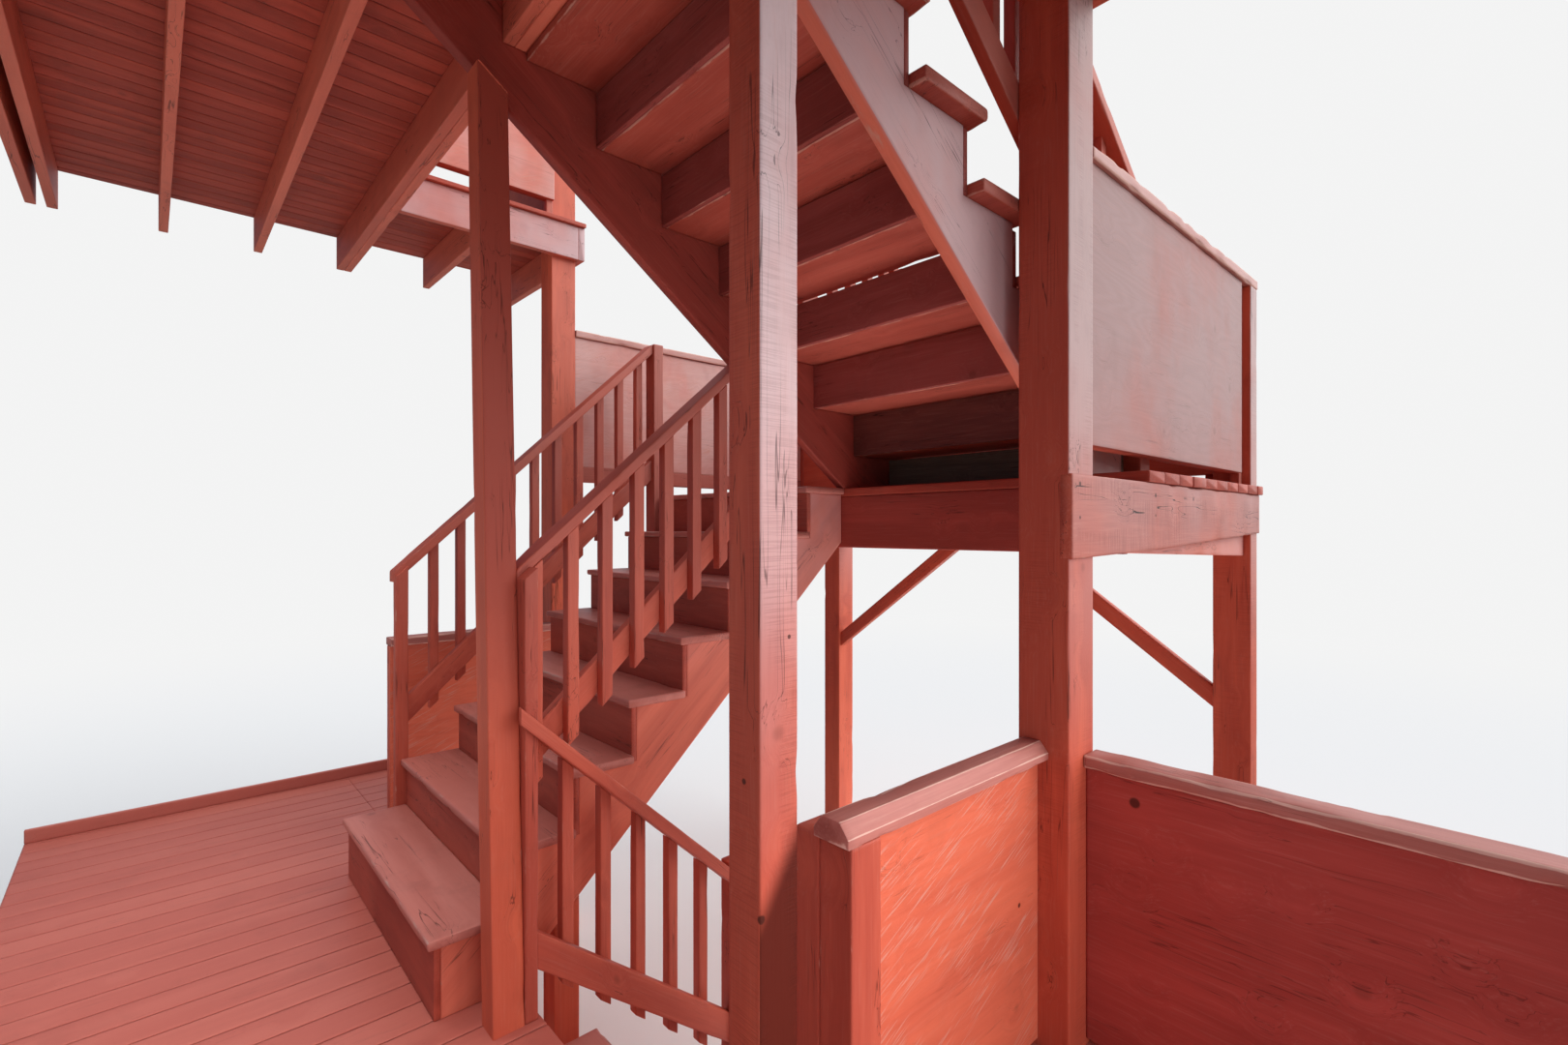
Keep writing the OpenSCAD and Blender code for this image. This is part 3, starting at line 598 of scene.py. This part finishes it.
# A darker, less faded copy of the frame paint is painted shade for the far upper stringer and the
# landing's inner beam, which stand in shadow.
shaded_frame_paint = old_paint("red_frame_paint_shaded", (174, 74, 62), (148, 60, 50),
                            (170, 110, 102), (200, 132, 114), fade_and_sheen=0.15, wear=0.2)
framing = (frame_paint, "painted_frame")
shaded_framing = (shaded_frame_paint, "painted_frame")
side_x = post_x + post_w
joist_d = 184
floor_t = 22
house_x = -416
wall_y = 4770
end_y = -1340
beam_t = 2 * board_t
header_inner = 820
lower_header = 858
upper_header = 896
well_rim_x = 897


def deck_frame(level, floor_z, header_x):
    """Joists, beams and rims hang below the floor boards of the deck at this height. The header
    is one board or two, up to the place given."""
    top = floor_z - floor_t
    low = top - joist_d
    joists = [*[(x, beam_back, wall_y) for x in (house_x, -345, 47, 434)],
              *[(x, end_y + beam_t, beam_back - beam_t)
                for x in (house_x, -345, 47, 434, 858, 1376)],
              (1283, walk_y + board_t, wall_y)]
    named(level + "_joists", [bar((x, y0, low), (x + board_t, y1, top), "y")
                              for x, y0, y1 in joists], *framing)
    plies = (beam_back - beam_t, beam_back - board_t, end_y, end_y + board_t)
    named(level + "_beams", [bar((house_x, y, low), (post_x, y + board_t, top), "x")
                             for y in plies], *framing)
    rims = [*[bar((x, well_y + 2, low), (x + board_t, wall_y, top), "y", chips=1.2)
              for x in range(header_inner, header_x, board_t)],
            bar((well_rim_x, well_y - board_t, low), (post_x, well_y, top), "x", chips=1.2),
            bar((header_x, walk_y, low), (walk_x, walk_y + board_t, top), "x", chips=1.2),
            bar((walk_x, walk_y, low), (walk_x + board_t, wall_y, top), "y"),
            bar((side_x, end_y, low), (side_x + board_t, well_y, top), "y")]
    named(level + "_rims", rims, *framing)


deck_frame("lower", deck_z, lower_header)
deck_frame("upper", upper_z, upper_header)

# Deck floors
# Narrow tongued boards run out from the house, over the joists. From below they are the ceiling
# of the deck under them, with a dark groove at each joint. A near-black strip inside the boards
# shows through the joints as painted shade in the grooves.
floor_paint = old_paint("red_floor_paint", (190, 106, 92), (182, 97, 84),
                        (204, 150, 142), (184, 132, 120), fade_and_sheen=0.4, fibre=0.05,
                        wear=0.15, grime=0.1, check=0.15, knot=0.1, rough=0.42, relief=0.25)
ceiling_paint = old_paint("red_ceiling_paint", (186, 84, 66), (156, 66, 52),
                          (204, 150, 142), (184, 132, 120), fade_and_sheen=0.2, wear=0.2,
                          grime=0.25, check=0.3, gloss=0.15)
groove_shade_paint = old_paint("painted_groove_shade", (48, 18, 14), (30, 12, 10), (48, 18, 14),
                       (48, 18, 14), wear=0.0, gloss=0.1)
seam = 5


def laid(x0, x1, y0, y1, floor_z, wide):
    """Boards of one width side by side from y0, the last one ripped to fit."""
    return [bar((x0, y, floor_z - floor_t), (x1, min(y + wide, y1 + seam) - seam, floor_z), "x",
                radius=2.2, step=150.0, wave=0.4) for y in np.arange(y0, y1 - 8, wide)]


for level, floor_z, wide, edge in (("lower", deck_z, 119.0, 872), ("upper", upper_z, 83.0, 918)):
    areas = {"_floor_main": (house_x, edge, end_y, wall_y),
             "_floor_side": (edge, side_x + board_t + 10, end_y, well_y),
             "_floor_wall_walk": (edge, walk_x + board_t, walk_y - 20, wall_y)}
    for part, (x0, x1, y0, y1) in areas.items():
        name = level + part
        paint = floor_paint if level == "lower" else ceiling_paint
        named(name, laid(x0, x1, y0, y1, floor_z, wide), paint, "painted_floor")
        # The tongues are a near-black strip: painted shade for the grooves between the boards.
        piece(name + "_tongues", [bar((x0 + 4, y0 + 4, floor_z - 13), (x1 - 4, y1 - 4, floor_z - 9),
                                      radius=1.0, wave=0.0)], groove_shade_paint, "painted_floor")

piece("lower_floor_skirting",
      [bar((house_x, wall_y - floor_t, deck_z), (1740, wall_y, deck_z + 62), "x", wave=0.3)],
      floor_paint, "painted_floor")

# Flights
# Each flight has two stringers cut to the steps, riser boards nailed to their edges, and tread
# boards with a nosing that feet have rounded and hollowed.
tread_paint = old_paint("red_tread_paint", (196, 122, 110), (180, 104, 92),
                        (196, 146, 138), (188, 142, 130), fade_and_sheen=0.3, fibre=0.1,
                        wear=0.38, grime=0.2, rough=0.45)
riser_paint = old_paint("red_riser_paint", (186, 86, 68), (160, 70, 56),
                        (200, 150, 140), (196, 140, 124), fade_and_sheen=0.3, wear=0.3)
bare_board = old_paint("bare_board", (104, 88, 76), (66, 58, 52), (120, 104, 92),
                       (128, 110, 98), fade_and_sheen=0.2, fibre=0.5, wear=0.2, rough=0.7)
stringer_t = 44
nosing = 22
tread_t = 28
up_tread_t = 38


def inset(outline, distance):
    """Moves each corner of an anticlockwise outline inwards along the bisector of its sides."""
    before = outline - np.roll(outline, 1, axis=0)
    after = np.roll(outline, -1, axis=0) - outline
    before = before / np.linalg.norm(before, axis=1, keepdims=True)
    after = after / np.linalg.norm(after, axis=1, keepdims=True)
    first = np.stack([-before[:, 1], before[:, 0]], axis=1)
    second = np.stack([-after[:, 1], after[:, 0]], axis=1)
    share = distance / (1 + (first * second).sum(axis=1, keepdims=True))
    return outline + (first + second) * share


def plate(outline, at, across, through, slope):
    """A board sawn to an outline, which lies across and up from a corner and is carried through
    its thickness, with nicked edges. Its grain runs at the slope given."""
    outline = np.array(outline, float)
    following = np.roll(outline, -1, axis=0)
    area = (outline[:, 0] * following[:, 1] - following[:, 0] * outline[:, 1]).sum()
    if area < 0:
        outline = outline[::-1]
    thick = np.linalg.norm(through)
    depth = np.array([0, 0, 1.8, thick - 1.8, thick, thick])
    inwards = (9.0, 1.8, 0.0, 0.0, 1.8, 9.0)
    rings = np.stack([inset(outline, d) for d in inwards])
    s = np.tile(depth[:, None], (1, len(outline)))
    rim = np.tile(np.array([0, 0.8, 1, 1, 0.8, 0.0])[:, None], (1, len(outline)))
    at, across, through, up = (np.array(x, float) for x in (at, across, through, (0, 0, 1)))
    spot, quads, ends, _, rim, tone = swept(s, rings[..., 0], rings[..., 1], rim, at,
                                            through / thick, across, up)
    run = np.array([1.0, slope]) / math.hypot(1.0, slope)
    flat = rings.reshape(-1, 2)
    grain = np.stack([flat @ run, flat @ np.array([-run[1], run[0]]), s.reshape(-1)], axis=1)
    return spot, quads, ends, grain / 1000 + rng.uniform(0, 40, 3), rim, tone


def stepped(n, going, first, rise, deep, thick, head):
    """Outline of a cut stringer: up the steps, round its head, and down its straight underside,
    which lies this deep below the tops of the treads."""
    up_steps = [((k + e) * going + riser_t, first + k * rise - thick)
                for k in range(n - 1) for e in (0, 1)]
    foot = going + riser_t + (deep - first) * going / rise
    last = ((n - 1) * going + riser_t, first + (n - 1) * rise - thick)
    return [(riser_t, 0), *up_steps, last, *head, (foot, 0)]


def trodden(length, width, depth):
    """A shape for a tread whose nosing is worn low and back: a bell curve along its length times
    a slow ripple and a curve that falls away behind the nosing."""
    def worn(s, v, w):
        middle = np.exp(-((s - 0.5 * length) / (0.3 * length)) ** 2)
        rough = 0.7 + 0.3 * np.sin(s / 37) * np.sin(s / 83)
        loss = depth * middle * rough * np.exp(-v / (0.3 * width)) * (w / w.max())
        return s, v + loss * 0.8 * np.exp(-v / 12), w - loss
    return worn


def flight(x, z, way, n, going, first, rise, thick, last, y0, y1):
    """Tread boards of a flight that climbs along x, or against it where way is -1."""
    boards = []
    for k in range(n):
        nose = k * going - nosing
        back = last if k == n - 1 else (k + 1) * going
        top = z + first + k * rise
        deep = back - nose
        boards.append(board((x + way * nose, y0, top - thick), (0, y1 - y0, 0),
                            (way * deep, 0, 0), (0, 0, thick), radius=6.0, step=22.0,
                            chips=2.0, chip_depth=6.0, shape=trodden(y1 - y0, deep, 4.0)))
    return boards


def strings(x, z, way, n, going, first, rise, deep, thick, head, y0, y1):
    """Two cut stringers."""
    outline = stepped(n, going, first, rise, deep, thick, head)
    return [plate(outline, (x, y, z), (way, 0, 0), (0, stringer_t, 0), rise / going)
            for y in (y0, y1 - stringer_t)]


def riser_boards(x, z, way, n, going, first, rise, thick, y0, y1, gaps=()):
    """Riser boards nailed to the front edges of the stringers; gaps may stay under the treads."""
    boards = []
    for k in range(n):
        low = 0 if k == 0 else first + (k - 1) * rise - thick
        high = first + k * rise - thick - (gaps[k] if gaps else 0)
        boards.append(board((x + way * k * going, y0, z + low), (0, y1 - y0, 0),
                            (way * riser_t, 0, 0), (0, 0, high - low), radius=2.0, step=60.0))
    return boards


def stair(name, step, deep, head, sides, reach, tread_y):
    """The carriage, the riser boards and the treads of a flight that is red all over."""
    named(name + "_flight_carriage", strings(*step, deep, tread_t, head, *sides), *framing)
    piece(name + "_flight_risers", riser_boards(*step, tread_t, *sides),
          riser_paint, "painted_frame")
    named(name + "_flight_treads", flight(*step, tread_t, reach, tread_y, sides[1]),
          tread_paint, "painted_treads")


# The ground flight leads down from the lower deck's header to the yard
ground_x = 1542
ground_going = 228
ground_rise = 200
ground_deep = 218
ground_step = (ground_x, 0, -1, 3, ground_going, ground_rise, ground_rise)
ground_sides = (1112, 2137)
ground_reach = ground_x - lower_header
ground_tail = ground_x - header_inner
ground_run = ground_tail - ground_going - riser_t
under_header = deck_z - floor_t - joist_d
ground_head = [(ground_reach, 3 * ground_rise - tread_t), (ground_reach, under_header),
               (ground_tail, under_header),
               (ground_tail, ground_rise - ground_deep + ground_run * ground_rise / ground_going)]
stair("ground", ground_step, ground_deep, ground_head, ground_sides, ground_reach, 1112)

# The lower flight climbs from the lower deck to the landing
landing_edge = 2380
low_step = (low_foot, deck_z, 1, 8, low_going, low_first, low_rise)
low_sides = (2218, 3390)
low_reach = landing_edge - low_foot
low_head = [(low_reach, landing_z - deck_z - tread_t),
            (low_reach, low_under(landing_edge) - deck_z)]
stair("lower", low_step, low_deep, low_head, low_sides, low_reach, 2197)

# The upper flight turns back to the upper deck. Light shows over its risers. The one nearest the
# landing is bare grey wood, and the next has an old brown coat
up_step = (up_foot, landing_z, -1, 7, up_going, up_rise, up_rise)
up_sides = (1089, 2241)
up_reach = up_foot - upper_header
header_reach = up_reach + 2 * board_t
joist_face = 472
tail_reach = up_foot - joist_face
tail_top = 8 * up_rise - floor_t
tail_low = tail_top - joist_d
up_head = [(up_reach, 7 * up_rise - up_tread_t), (up_reach, tail_low), (header_reach, tail_low),
           (header_reach, tail_top), (tail_reach, tail_top),
           (tail_reach, up_under(joist_face) - landing_z)]
near_string, far_string = strings(*up_step, up_deep, up_tread_t, up_head, *up_sides)
piece("upper_flight_near_stringer", [near_string], *framing, "upper_flight_carriage")
# The far stringer takes the darker frame paint: painted shade.
piece("upper_flight_far_stringer", [far_string], *shaded_framing)
# The upper flight's risers are seen from below, and their pinker, duller copy of the riser paint is
# painted light, for the cool light that reaches them there.
flight_under = old_paint("red_flight_underside", (160, 80, 74), (138, 64, 58),
                         (160, 96, 88), (196, 140, 124), fade_and_sheen=0.2, wear=0.3, gloss=0.15)
up_risers = riser_boards(*up_step, up_tread_t, *up_sides, gaps=(4, 4, 7, 21, 5, 4, 4))
piece("upper_flight_risers", up_risers[2:], flight_under, "painted_frame")
piece("upper_flight_first_riser", up_risers[:1], bare_board, "painted_frame")
dark_board = old_paint("dark_riser_paint", (122, 66, 58), (98, 52, 46), (122, 74, 66),
                       (150, 100, 88), fade_and_sheen=0.2, fibre=0.3, wear=0.4, check=0.9)
piece("upper_flight_second_riser", up_risers[1:2], dark_board, "painted_frame")
high_tread = old_paint("red_high_tread_paint", (184, 88, 72), (164, 72, 58),
                       (190, 136, 124), (196, 140, 124), fade_and_sheen=0.3, fibre=0.2, wear=0.5)
named("upper_flight_treads", flight(*up_step, up_tread_t, up_reach, 1038, 2241),
      high_tread, "painted_treads")

# Landing
# Thick planks lie across joists between four beams. Their ends run a little past the near beam,
# which is let into the posts. Knee braces stiffen the outer side.
plank_t = 38
plank_w = 134.0
beam_d = 235
beam_top = landing_z - plank_t
beam_low = beam_top - beam_d
near_y = 876
far_y = 3752
planks = [bar((x, 861 + rng.uniform(0, 9), beam_top),
              (min(x + plank_w, 3660) - 2, far_y + board_t, landing_z),
              "y", radius=3.0, step=60.0, chips=1.0)
          for x in np.arange(landing_edge, 3650, plank_w)]
named("landing_floor", planks, ceiling_paint, "painted_floor")
edge_inner = landing_edge + board_t
named("landing_joists",
      [bar((edge_inner, y, beam_top - joist_d), (outer_x - beam_t, y + board_t, beam_top), "x")
       for y in (1330, 1800, 2270, 2740, 3200)], *framing)
rough_paint = old_paint("red_beam_paint", (204, 104, 82), (180, 84, 66),
                        (164, 132, 130), (206, 156, 142), fibre=0.25, wear=0.34,
                        check=1.0, knot=0.8, saw=0.4,
                        knots=((1902, 876, 2378, 8), (1902, 876, 2285, 6), (2447, 876, 2364, 9),
                               (2447, 876, 2298, 6), (2806, 876, 2362, 8)))
beam_edges = dict(radius=4.0, step=25.0, chips=2.5, chip_depth=9.0)


def near_low(x):
    """Lower edge of the near beam's front board, which rises outwards with a bend."""
    bend = 2600
    return beam_low + 0.027 * (np.minimum(x, bend) - post_x) + 0.044 * np.maximum(0, x - bend)


def rising(s, v, w):
    """Lifts the lower edge of a board that starts at the corner post."""
    low = near_low(post_x + s)
    return s, v, low - beam_low + w * (beam_top - low) / (beam_top - beam_low)


def falling(s, v, w):
    """Lowers the lower edge of the board behind it."""
    low = 16 - 49 * s / s.max()
    return s, v, low + w * (beam_d - low) / beam_d


named("landing_beam_near",
      [bar((post_x, near_y, beam_low), (outer_x, near_y + board_t, beam_top), "x",
           shape=rising, **beam_edges)],
      rough_paint, "painted_frame")
piece("landing_beam_second",
      [bar((side_x, near_y + board_t, beam_low), (landing_post_x, near_y + beam_t, beam_top), "x",
           shape=falling, **beam_edges)], *framing)
# The inner beam takes the darker frame paint: painted shade.
named("landing_beam_inner",
      [bar((landing_edge, near_y + beam_t, beam_low), (edge_inner, far_y, beam_top), "y")],
      *shaded_framing)
named("landing_beam_outer",
      [bar((x, near_post_back, beam_low), (x + board_t, far_y, beam_top), "y")
       for x in (outer_x - beam_t, outer_x - board_t)], *framing)
named("landing_beam_far",
      [bar((landing_edge, far_y, beam_low), (outer_x, far_y + board_t, beam_top), "x")], *framing)
brace_rise = 725
brace_slope = 0.73
brace_deep = 95
brace_run = brace_rise / brace_slope
brace_outline = [(0, 0), (brace_run, brace_rise),
                 (brace_run - brace_deep / brace_slope, brace_rise), (0, brace_deep)]
named("landing_braces",
      [plate(brace_outline, (outer_x - beam_t, y, beam_low - brace_rise), (0, way, 0),
             (board_t, 0, 0), brace_slope)
       for y, way in ((near_post_back, 1), (far_post_y, -1))], *posts)

# Railings
# A flat handrail and a bottom rail on edge climb with each flight, cut plumb at the posts.
# Square balusters with sloped ends are nailed to the side of the bottom rail.
rail_paint = old_paint("red_rail_paint", (200, 96, 74), (174, 78, 62),
                       (190, 132, 122), (206, 148, 130), fade_and_sheen=0.6, wear=0.28)
railings = (rail_paint, "painted_rails")
rail_deep = 52
baluster = 38


def low_line(x):
    """Height of the lower flight's nosings."""
    return deck_z + low_first + (x - low_foot + nosing) * low_rise / low_going


def up_line(x):
    """Height of the upper flight's nosings."""
    return landing_z + up_rise + (up_foot + nosing - x) * up_rise / up_going


def near_hand(x):
    """The lower flight's near handrail comes closer to the nosings as it climbs."""
    return low_line(x) - 0.0186 * (x - 820)


def far_hand(x):
    """The far handrail draws away from them."""
    return low_line(x) + 0.0307 * (x - 803)


def ground_hand(x):
    """Top of the ground flight's handrail."""
    return deck_z + 882 - 0.93 * (x - 860)


def ground_low(x):
    """Top of its bottom rail."""
    return deck_z + 258 - 0.798 * (x - 860)


def ground_foot(x):
    """Feet of its balusters."""
    return deck_z + 124 - 0.85 * (x - 860)


def rail(line, x0, x1, top, deep, y0, y1):
    """A sloping rail with plumb ends, its top at this height over the line of the nosings."""
    rise = line(x1) - line(x0)
    return board((x0, y0, line(x0) + top - deep), (x1 - x0, 0, rise), (0, y1 - y0, 0), (0, 0, deep),
                 radius=3.5, step=35.0, chips=3.0)


def balusters(foot_line, head_line, first, pitch, end, foot, head, y):
    """Upright square bars whose ends slope with the rails."""
    boards = []
    for x in np.arange(first, end + 1, pitch):
        low = foot_line(x) + foot
        high = head_line(x) + head
        drop = foot_line(x + baluster) - foot_line(x)
        head_more = head_line(x + baluster) - head_line(x) - drop
        boards.append(board((x, y, low), (0, 0, high - low), (baluster, 0, drop), (0, baluster, 0),
                            radius=2.0, step=90.0, chips=1.0, head=head_more))
    return boards


def rail_foot(line, x, wide, hand, y0, y1):
    """A board that stands on the lower deck, with its head let into the rail it carries."""
    top = line(x) + hand - rail_deep / 2
    return board((x, y0, deck_z), (0, 0, top - deck_z), (wide, 0, 0), (0, y1 - y0, 0),
                 radius=3.0, step=60.0, chips=2.0, head=line(x + wide) - line(x))


near_end = 1735
near_high = 885
near_deep = 42
near_nosing = low_line(near_end)
named("lower_flight_railing_near", [
    rail_foot(near_hand, 820, 40, near_high, 2024, 2165),
    rail(near_hand, 820, near_end, near_high, near_deep, 2086, 2175),
    rail(low_line, 860, near_end, 322, 115, 2127, 2165),
    *balusters(low_line, near_hand, 864, 119, near_end - 60, 170, near_high - near_deep, 2089),
    upright((near_end, 2127, near_nosing - 100), (near_end + 70, 2197, near_nosing + 1000)),
], *railings)
far_end = 2105
far_high = 840
named("lower_flight_railing_far", [
    rail_foot(far_hand, 803, 52, far_high, 3390, 3430),
    rail(far_hand, 803, far_end, far_high, rail_deep, 3405, 3494),
    rail(low_line, 855, far_end, 233, 116, 3418, 3456),
    *balusters(low_line, far_hand, 960, 119, far_end - 60, 60, far_high - rail_deep, 3456),
    upright((far_end, 3390, low_line(far_end) - 330),
            (far_end + 60, 3479, far_hand(far_end) + far_high)),
], *railings)
up_newel = 2750
up_hand = 890
newel_w = 89
well_newel_x = 829


def upper_railing(y_rail, y_baluster, y_hand, x_end):
    """One railing of the upper flight, with the newel that it starts from on the landing."""
    return [rail(up_line, x_end, up_newel, up_hand, rail_deep, y_hand, y_hand + 83),
            rail(up_line, x_end, up_newel, 265, 115, y_rail, y_rail + board_t),
            *balusters(up_line, up_line, 956, 119, up_newel - 60, 262, up_hand - rail_deep,
                       y_baluster),
            upright((up_newel, y_hand, landing_z),
                    (up_newel + newel_w, y_hand + newel_w, up_line(up_newel) + up_hand + 20))]


named("upper_flight_railing_near", upper_railing(1038, 1076, 1038, 835), *railings)
named("upper_flight_railing_far",
      [*upper_railing(2203, 2165, 2158, well_newel_x + newel_w),
       upright((well_newel_x, 2152, upper_z),
               (well_newel_x + newel_w, 2152 + newel_w, post_top - 20))], *railings)
foot_x = 1589
named("ground_flight_railing", [
    rail(ground_hand, 800, foot_x, 0, rail_deep, 2005, 2024),
    rail(ground_hand, 860, foot_x, 0, rail_deep, 2024, 2094),
    rail(ground_low, 860, foot_x, 0, 114, 2030, 2068),
    *balusters(ground_foot, ground_hand, 955, 129, foot_x - 60, 0, -rail_deep, 2068),
    upright((foot_x, 2005, 0), (foot_x + newel_w, 2005 + newel_w, ground_hand(foot_x) + 20)),
], *railings)

# Guards
# Plywood sheets are nailed to frames of studs and rails round every open side. A flat board
# caps each one, and its edges are chipped and rubbed.
panel_look = dict(bare=(206, 150, 134), ring=0.16, wear=0.24, knot=0.25)
panel_paint = old_paint("red_panel_paint", (218, 110, 82), (204, 98, 74), (214, 180, 176),
                        check=0.2, scratch=0.6, knots=((1753, 975, 1231, 8),), **panel_look)
# The side guards take a darker copy of the panel paint: painted shade for panels that stand in
# shadow.
shaded_panel_paint = old_paint("red_panel_paint_shaded", (182, 76, 68), (164, 65, 58), (186, 140, 136),
                       check=0.4, knots=((1957, 754, 1519, 17),), **panel_look)
# The landing's near guard takes a darker copy of the panel paint, its pale colour darker too:
# painted shade that dims this guard.
dimmed_panel_paint = old_paint("red_panel_paint_dimmed", (180, 88, 70), (164, 78, 62), (162, 134, 133),
                       check=0.2, **panel_look)
cap_paint = old_paint("red_cap_paint", (190, 122, 112), (166, 98, 88),
                      (206, 164, 158), (214, 170, 156), fibre=0.2, wear=0.7)
ply_t = 19
cap_t = 38
cap_w = 90
cap_lip = 16
stud = 89
guard_high = 820
landing_high = 914
decks = {"lower": deck_z, "upper": upper_z}
cap_edges = dict(radius=4.5, step=22.0, chips=5.0, chip_depth=9.0)


def sheet(at, way, back, length, low, high):
    """A plywood panel, with its face grain along its length."""
    return board(at + (0, 0, low), way * length, back * ply_t, (0, 0, high - low), radius=1.5,
                 step=90.0, chips=1.5, wave=0.8)


def guard(at, way, back, length, height, gap, short=0, over=0):
    """One guard from the foot of its panel's face: way runs along it, back runs to its studs.
    The plywood may stop short of the frame's end, and the cap may run on over a post."""
    at, way, back = (np.array(x, float) for x in (at, way, back))
    up = np.array([0.0, 0.0, 1.0])
    top = height - cap_t
    panel = [sheet(at, way, back, length - short, gap, top)]
    wood = []
    for z in (gap, top - stud):
        wood.append(board(at + back * ply_t + up * z, way * length, back * board_t, up * stud))
    bays = max(1, round(length / 1100))
    for i in range(bays + 1):
        x = i * (length - board_t) / bays
        wood.append(board(at + back * ply_t + way * x, up * top, way * board_t, back * board_t))
    cap = [board(at - back * cap_lip + up * top, way * (length + over), back * cap_w, up * cap_t,
                 **cap_edges)]
    return panel, wood, cap


def guard_pieces(name, parts, extra=(), coat=panel_paint):
    """The panel, the frame and the cap are separate pieces for one node of the source."""
    panel, wood, cap = parts
    piece(name + "_panel", panel, coat, "painted_plywood", name)
    piece(name + "_frame", wood + list(extra), rail_paint, "painted_plywood")
    piece(name + "_cap", cap, cap_paint, "painted_plywood")


east, west, north, south = (1, 0, 0), (-1, 0, 0), (0, 1, 0), (0, -1, 0)
for level, z in decks.items():
    # The side guard's panel has the darker copy of the panel paint: painted shade.
    guard_pieces(level + "_guard_side", guard((1957, post_y, z), south, east, 2050, guard_high, 20),
                 coat=shaded_panel_paint)
    guard_pieces(level + "_guard_end", guard((post_x, -1240, z), west, south, 2272, guard_high, 20))
    guard_pieces(level + "_guard_walk_end",
                 guard((1740, wall_y, z), south, east, 906, guard_high, 60))
guard_pieces("lower_guard_wall_walk", guard((850, walk_y, deck_z), east, north, 807, 940, 60))
guard_pieces("upper_guard_wall_walk",
             guard((well_newel_x + newel_w, walk_y, upper_z), east, north, 739, guard_high, 86))
guard_pieces("upper_guard_well", guard((842, 3670, upper_z), south, east, 1429, guard_high, 60),
             [upright((well_newel_x, 3670, upper_z),
                      (well_newel_x + newel_w, 3670 + newel_w, upper_z + guard_high))])
# The near guard's panel has the darker copy of the panel paint: painted shade.
guard_pieces("landing_guard_near",
             guard((side_x, 900, landing_z), east, north, landing_post_x - side_x, landing_high, 54,
                   short=75, over=100), coat=dimmed_panel_paint)
corner_x = outer_x - newel_w
corner_y = far_y + board_t - newel_w
guard_pieces("landing_guard_outer",
             guard((corner_x, corner_y, landing_z), south, east, corner_y - near_post_back,
                   landing_high, 60, over=60),
             [upright((corner_x, corner_y, landing_z),
                      (outer_x, far_y + board_t, landing_z + landing_high))])

far_low = landing_z + 82
far_top = landing_z + 901
far_rail = 87
far_face = 3730
far_frame = far_face + ply_t
frame_back = far_frame + board_t
far_cap = far_face - cap_lip
far_studs = [bar((x, far_frame, landing_z), (x + board_t, frame_back, far_top), "z")
             for x in (2384, 2970, 3526)]
guard_pieces("landing_guard_far", (
    [bar((walk_x, far_face, far_low + far_rail), (corner_x, far_frame, far_top), "x",
         radius=1.5, wave=0.8)],
    [bar((walk_x, far_face, far_low), (corner_x, far_frame, far_low + far_rail), "x", chips=1.0),
     *[bar((walk_x, far_frame, z), (corner_x, frame_back, z + stud), "x")
       for z in (far_low, far_top - stud)],
     bar((walk_x, far_frame, far_low), (walk_x + board_t, frame_back, far_top), "z"), *far_studs],
    [bar((walk_x, far_cap, far_top), (corner_x, far_cap + cap_w, far_top + cap_t), "x",
         **cap_edges)]))


def bevelled_cap(x0, x1, z):
    """A cap board whose two upper edges are bevelled away: a six-sided outline carried along x,
    a little smaller at both ends, with chips that bite from its corners towards its middle."""
    outline = np.array([(944, -50), (1044, -50), (1044, -30), (1020, 0), (968, 0), (944, -30)],
                       float)
    rim_of = np.array([0.6, 0.6, 0.9, 1.0, 1.0, 0.9])
    corners = np.roll(outline, -1, axis=0)
    share = np.array([0.0, 0.12, 0.5, 0.88])
    ring = (outline[:, None] + (corners - outline)[:, None] * share[:, None]).reshape(-1, 2)
    rim = (rim_of[:, None] * np.array([1.0, 0.0, 0.0, 0.0])).reshape(-1)
    s = np.concatenate([[0.0], np.linspace(2, x1 - x0 - 2, 40), [x1 - x0]])
    centre = ring.mean(axis=0)
    size = np.concatenate([[0.96], np.full(40, 1.0), [0.96]])[:, None, None]
    grid = centre + (ring - centre) * size
    loss = np.stack([bites(s, 4.0, 7.0) for _ in outline], axis=1)
    loss = np.repeat(loss, 4, axis=1) * np.tile([1.0, 0.5, 0.0, 0.5], 6)
    inwards = (centre - ring) / np.linalg.norm(centre - ring, axis=1, keepdims=True)
    grid = grid + inwards * loss[..., None]
    return swept(np.tile(s[:, None], (1, len(ring))), grid[..., 0], grid[..., 1],
                 np.tile(rim, (len(s), 1)), np.array([x0, 0.0, z]), *np.eye(3))


# Behind the lower newel a second one is bolted to the rim; a board closes the upper guard's gap
newel_x = 1044
front_newel_w = 92
newel_end = newel_x + front_newel_w
front_face = 975
front_frame = front_face + ply_t
beside_newel = {"lower": upright((newel_x, well_y, under_header), (newel_end, 1110, deck_z + 810)),
                "upper": bar((well_rim_x, well_y - board_t, upper_z),
                             (newel_x, well_y, upper_z + 800), "x", chips=1.5)}
for level, z in decks.items():
    cap_top = z + 860
    under_cap = cap_top - 50
    guard_pieces(level + "_guard_front", (
        [bar((newel_end, front_face, z + 20), (post_x, front_frame, under_cap), "x",
             radius=1.5, wave=0.8, step=60.0)],
        [upright((newel_x, well_y - front_newel_w, z), (newel_end, well_y, under_cap)),
         beside_newel[level],
         *[bar((newel_end, front_frame, low), (post_x, front_frame + board_t, low + stud), "x")
           for low in (z + 20, under_cap - stud)],
         bar((post_x - board_t, front_frame, z), (post_x, front_frame + board_t, under_cap), "z")],
        [bevelled_cap(newel_x - 10, post_x, cap_top)]))
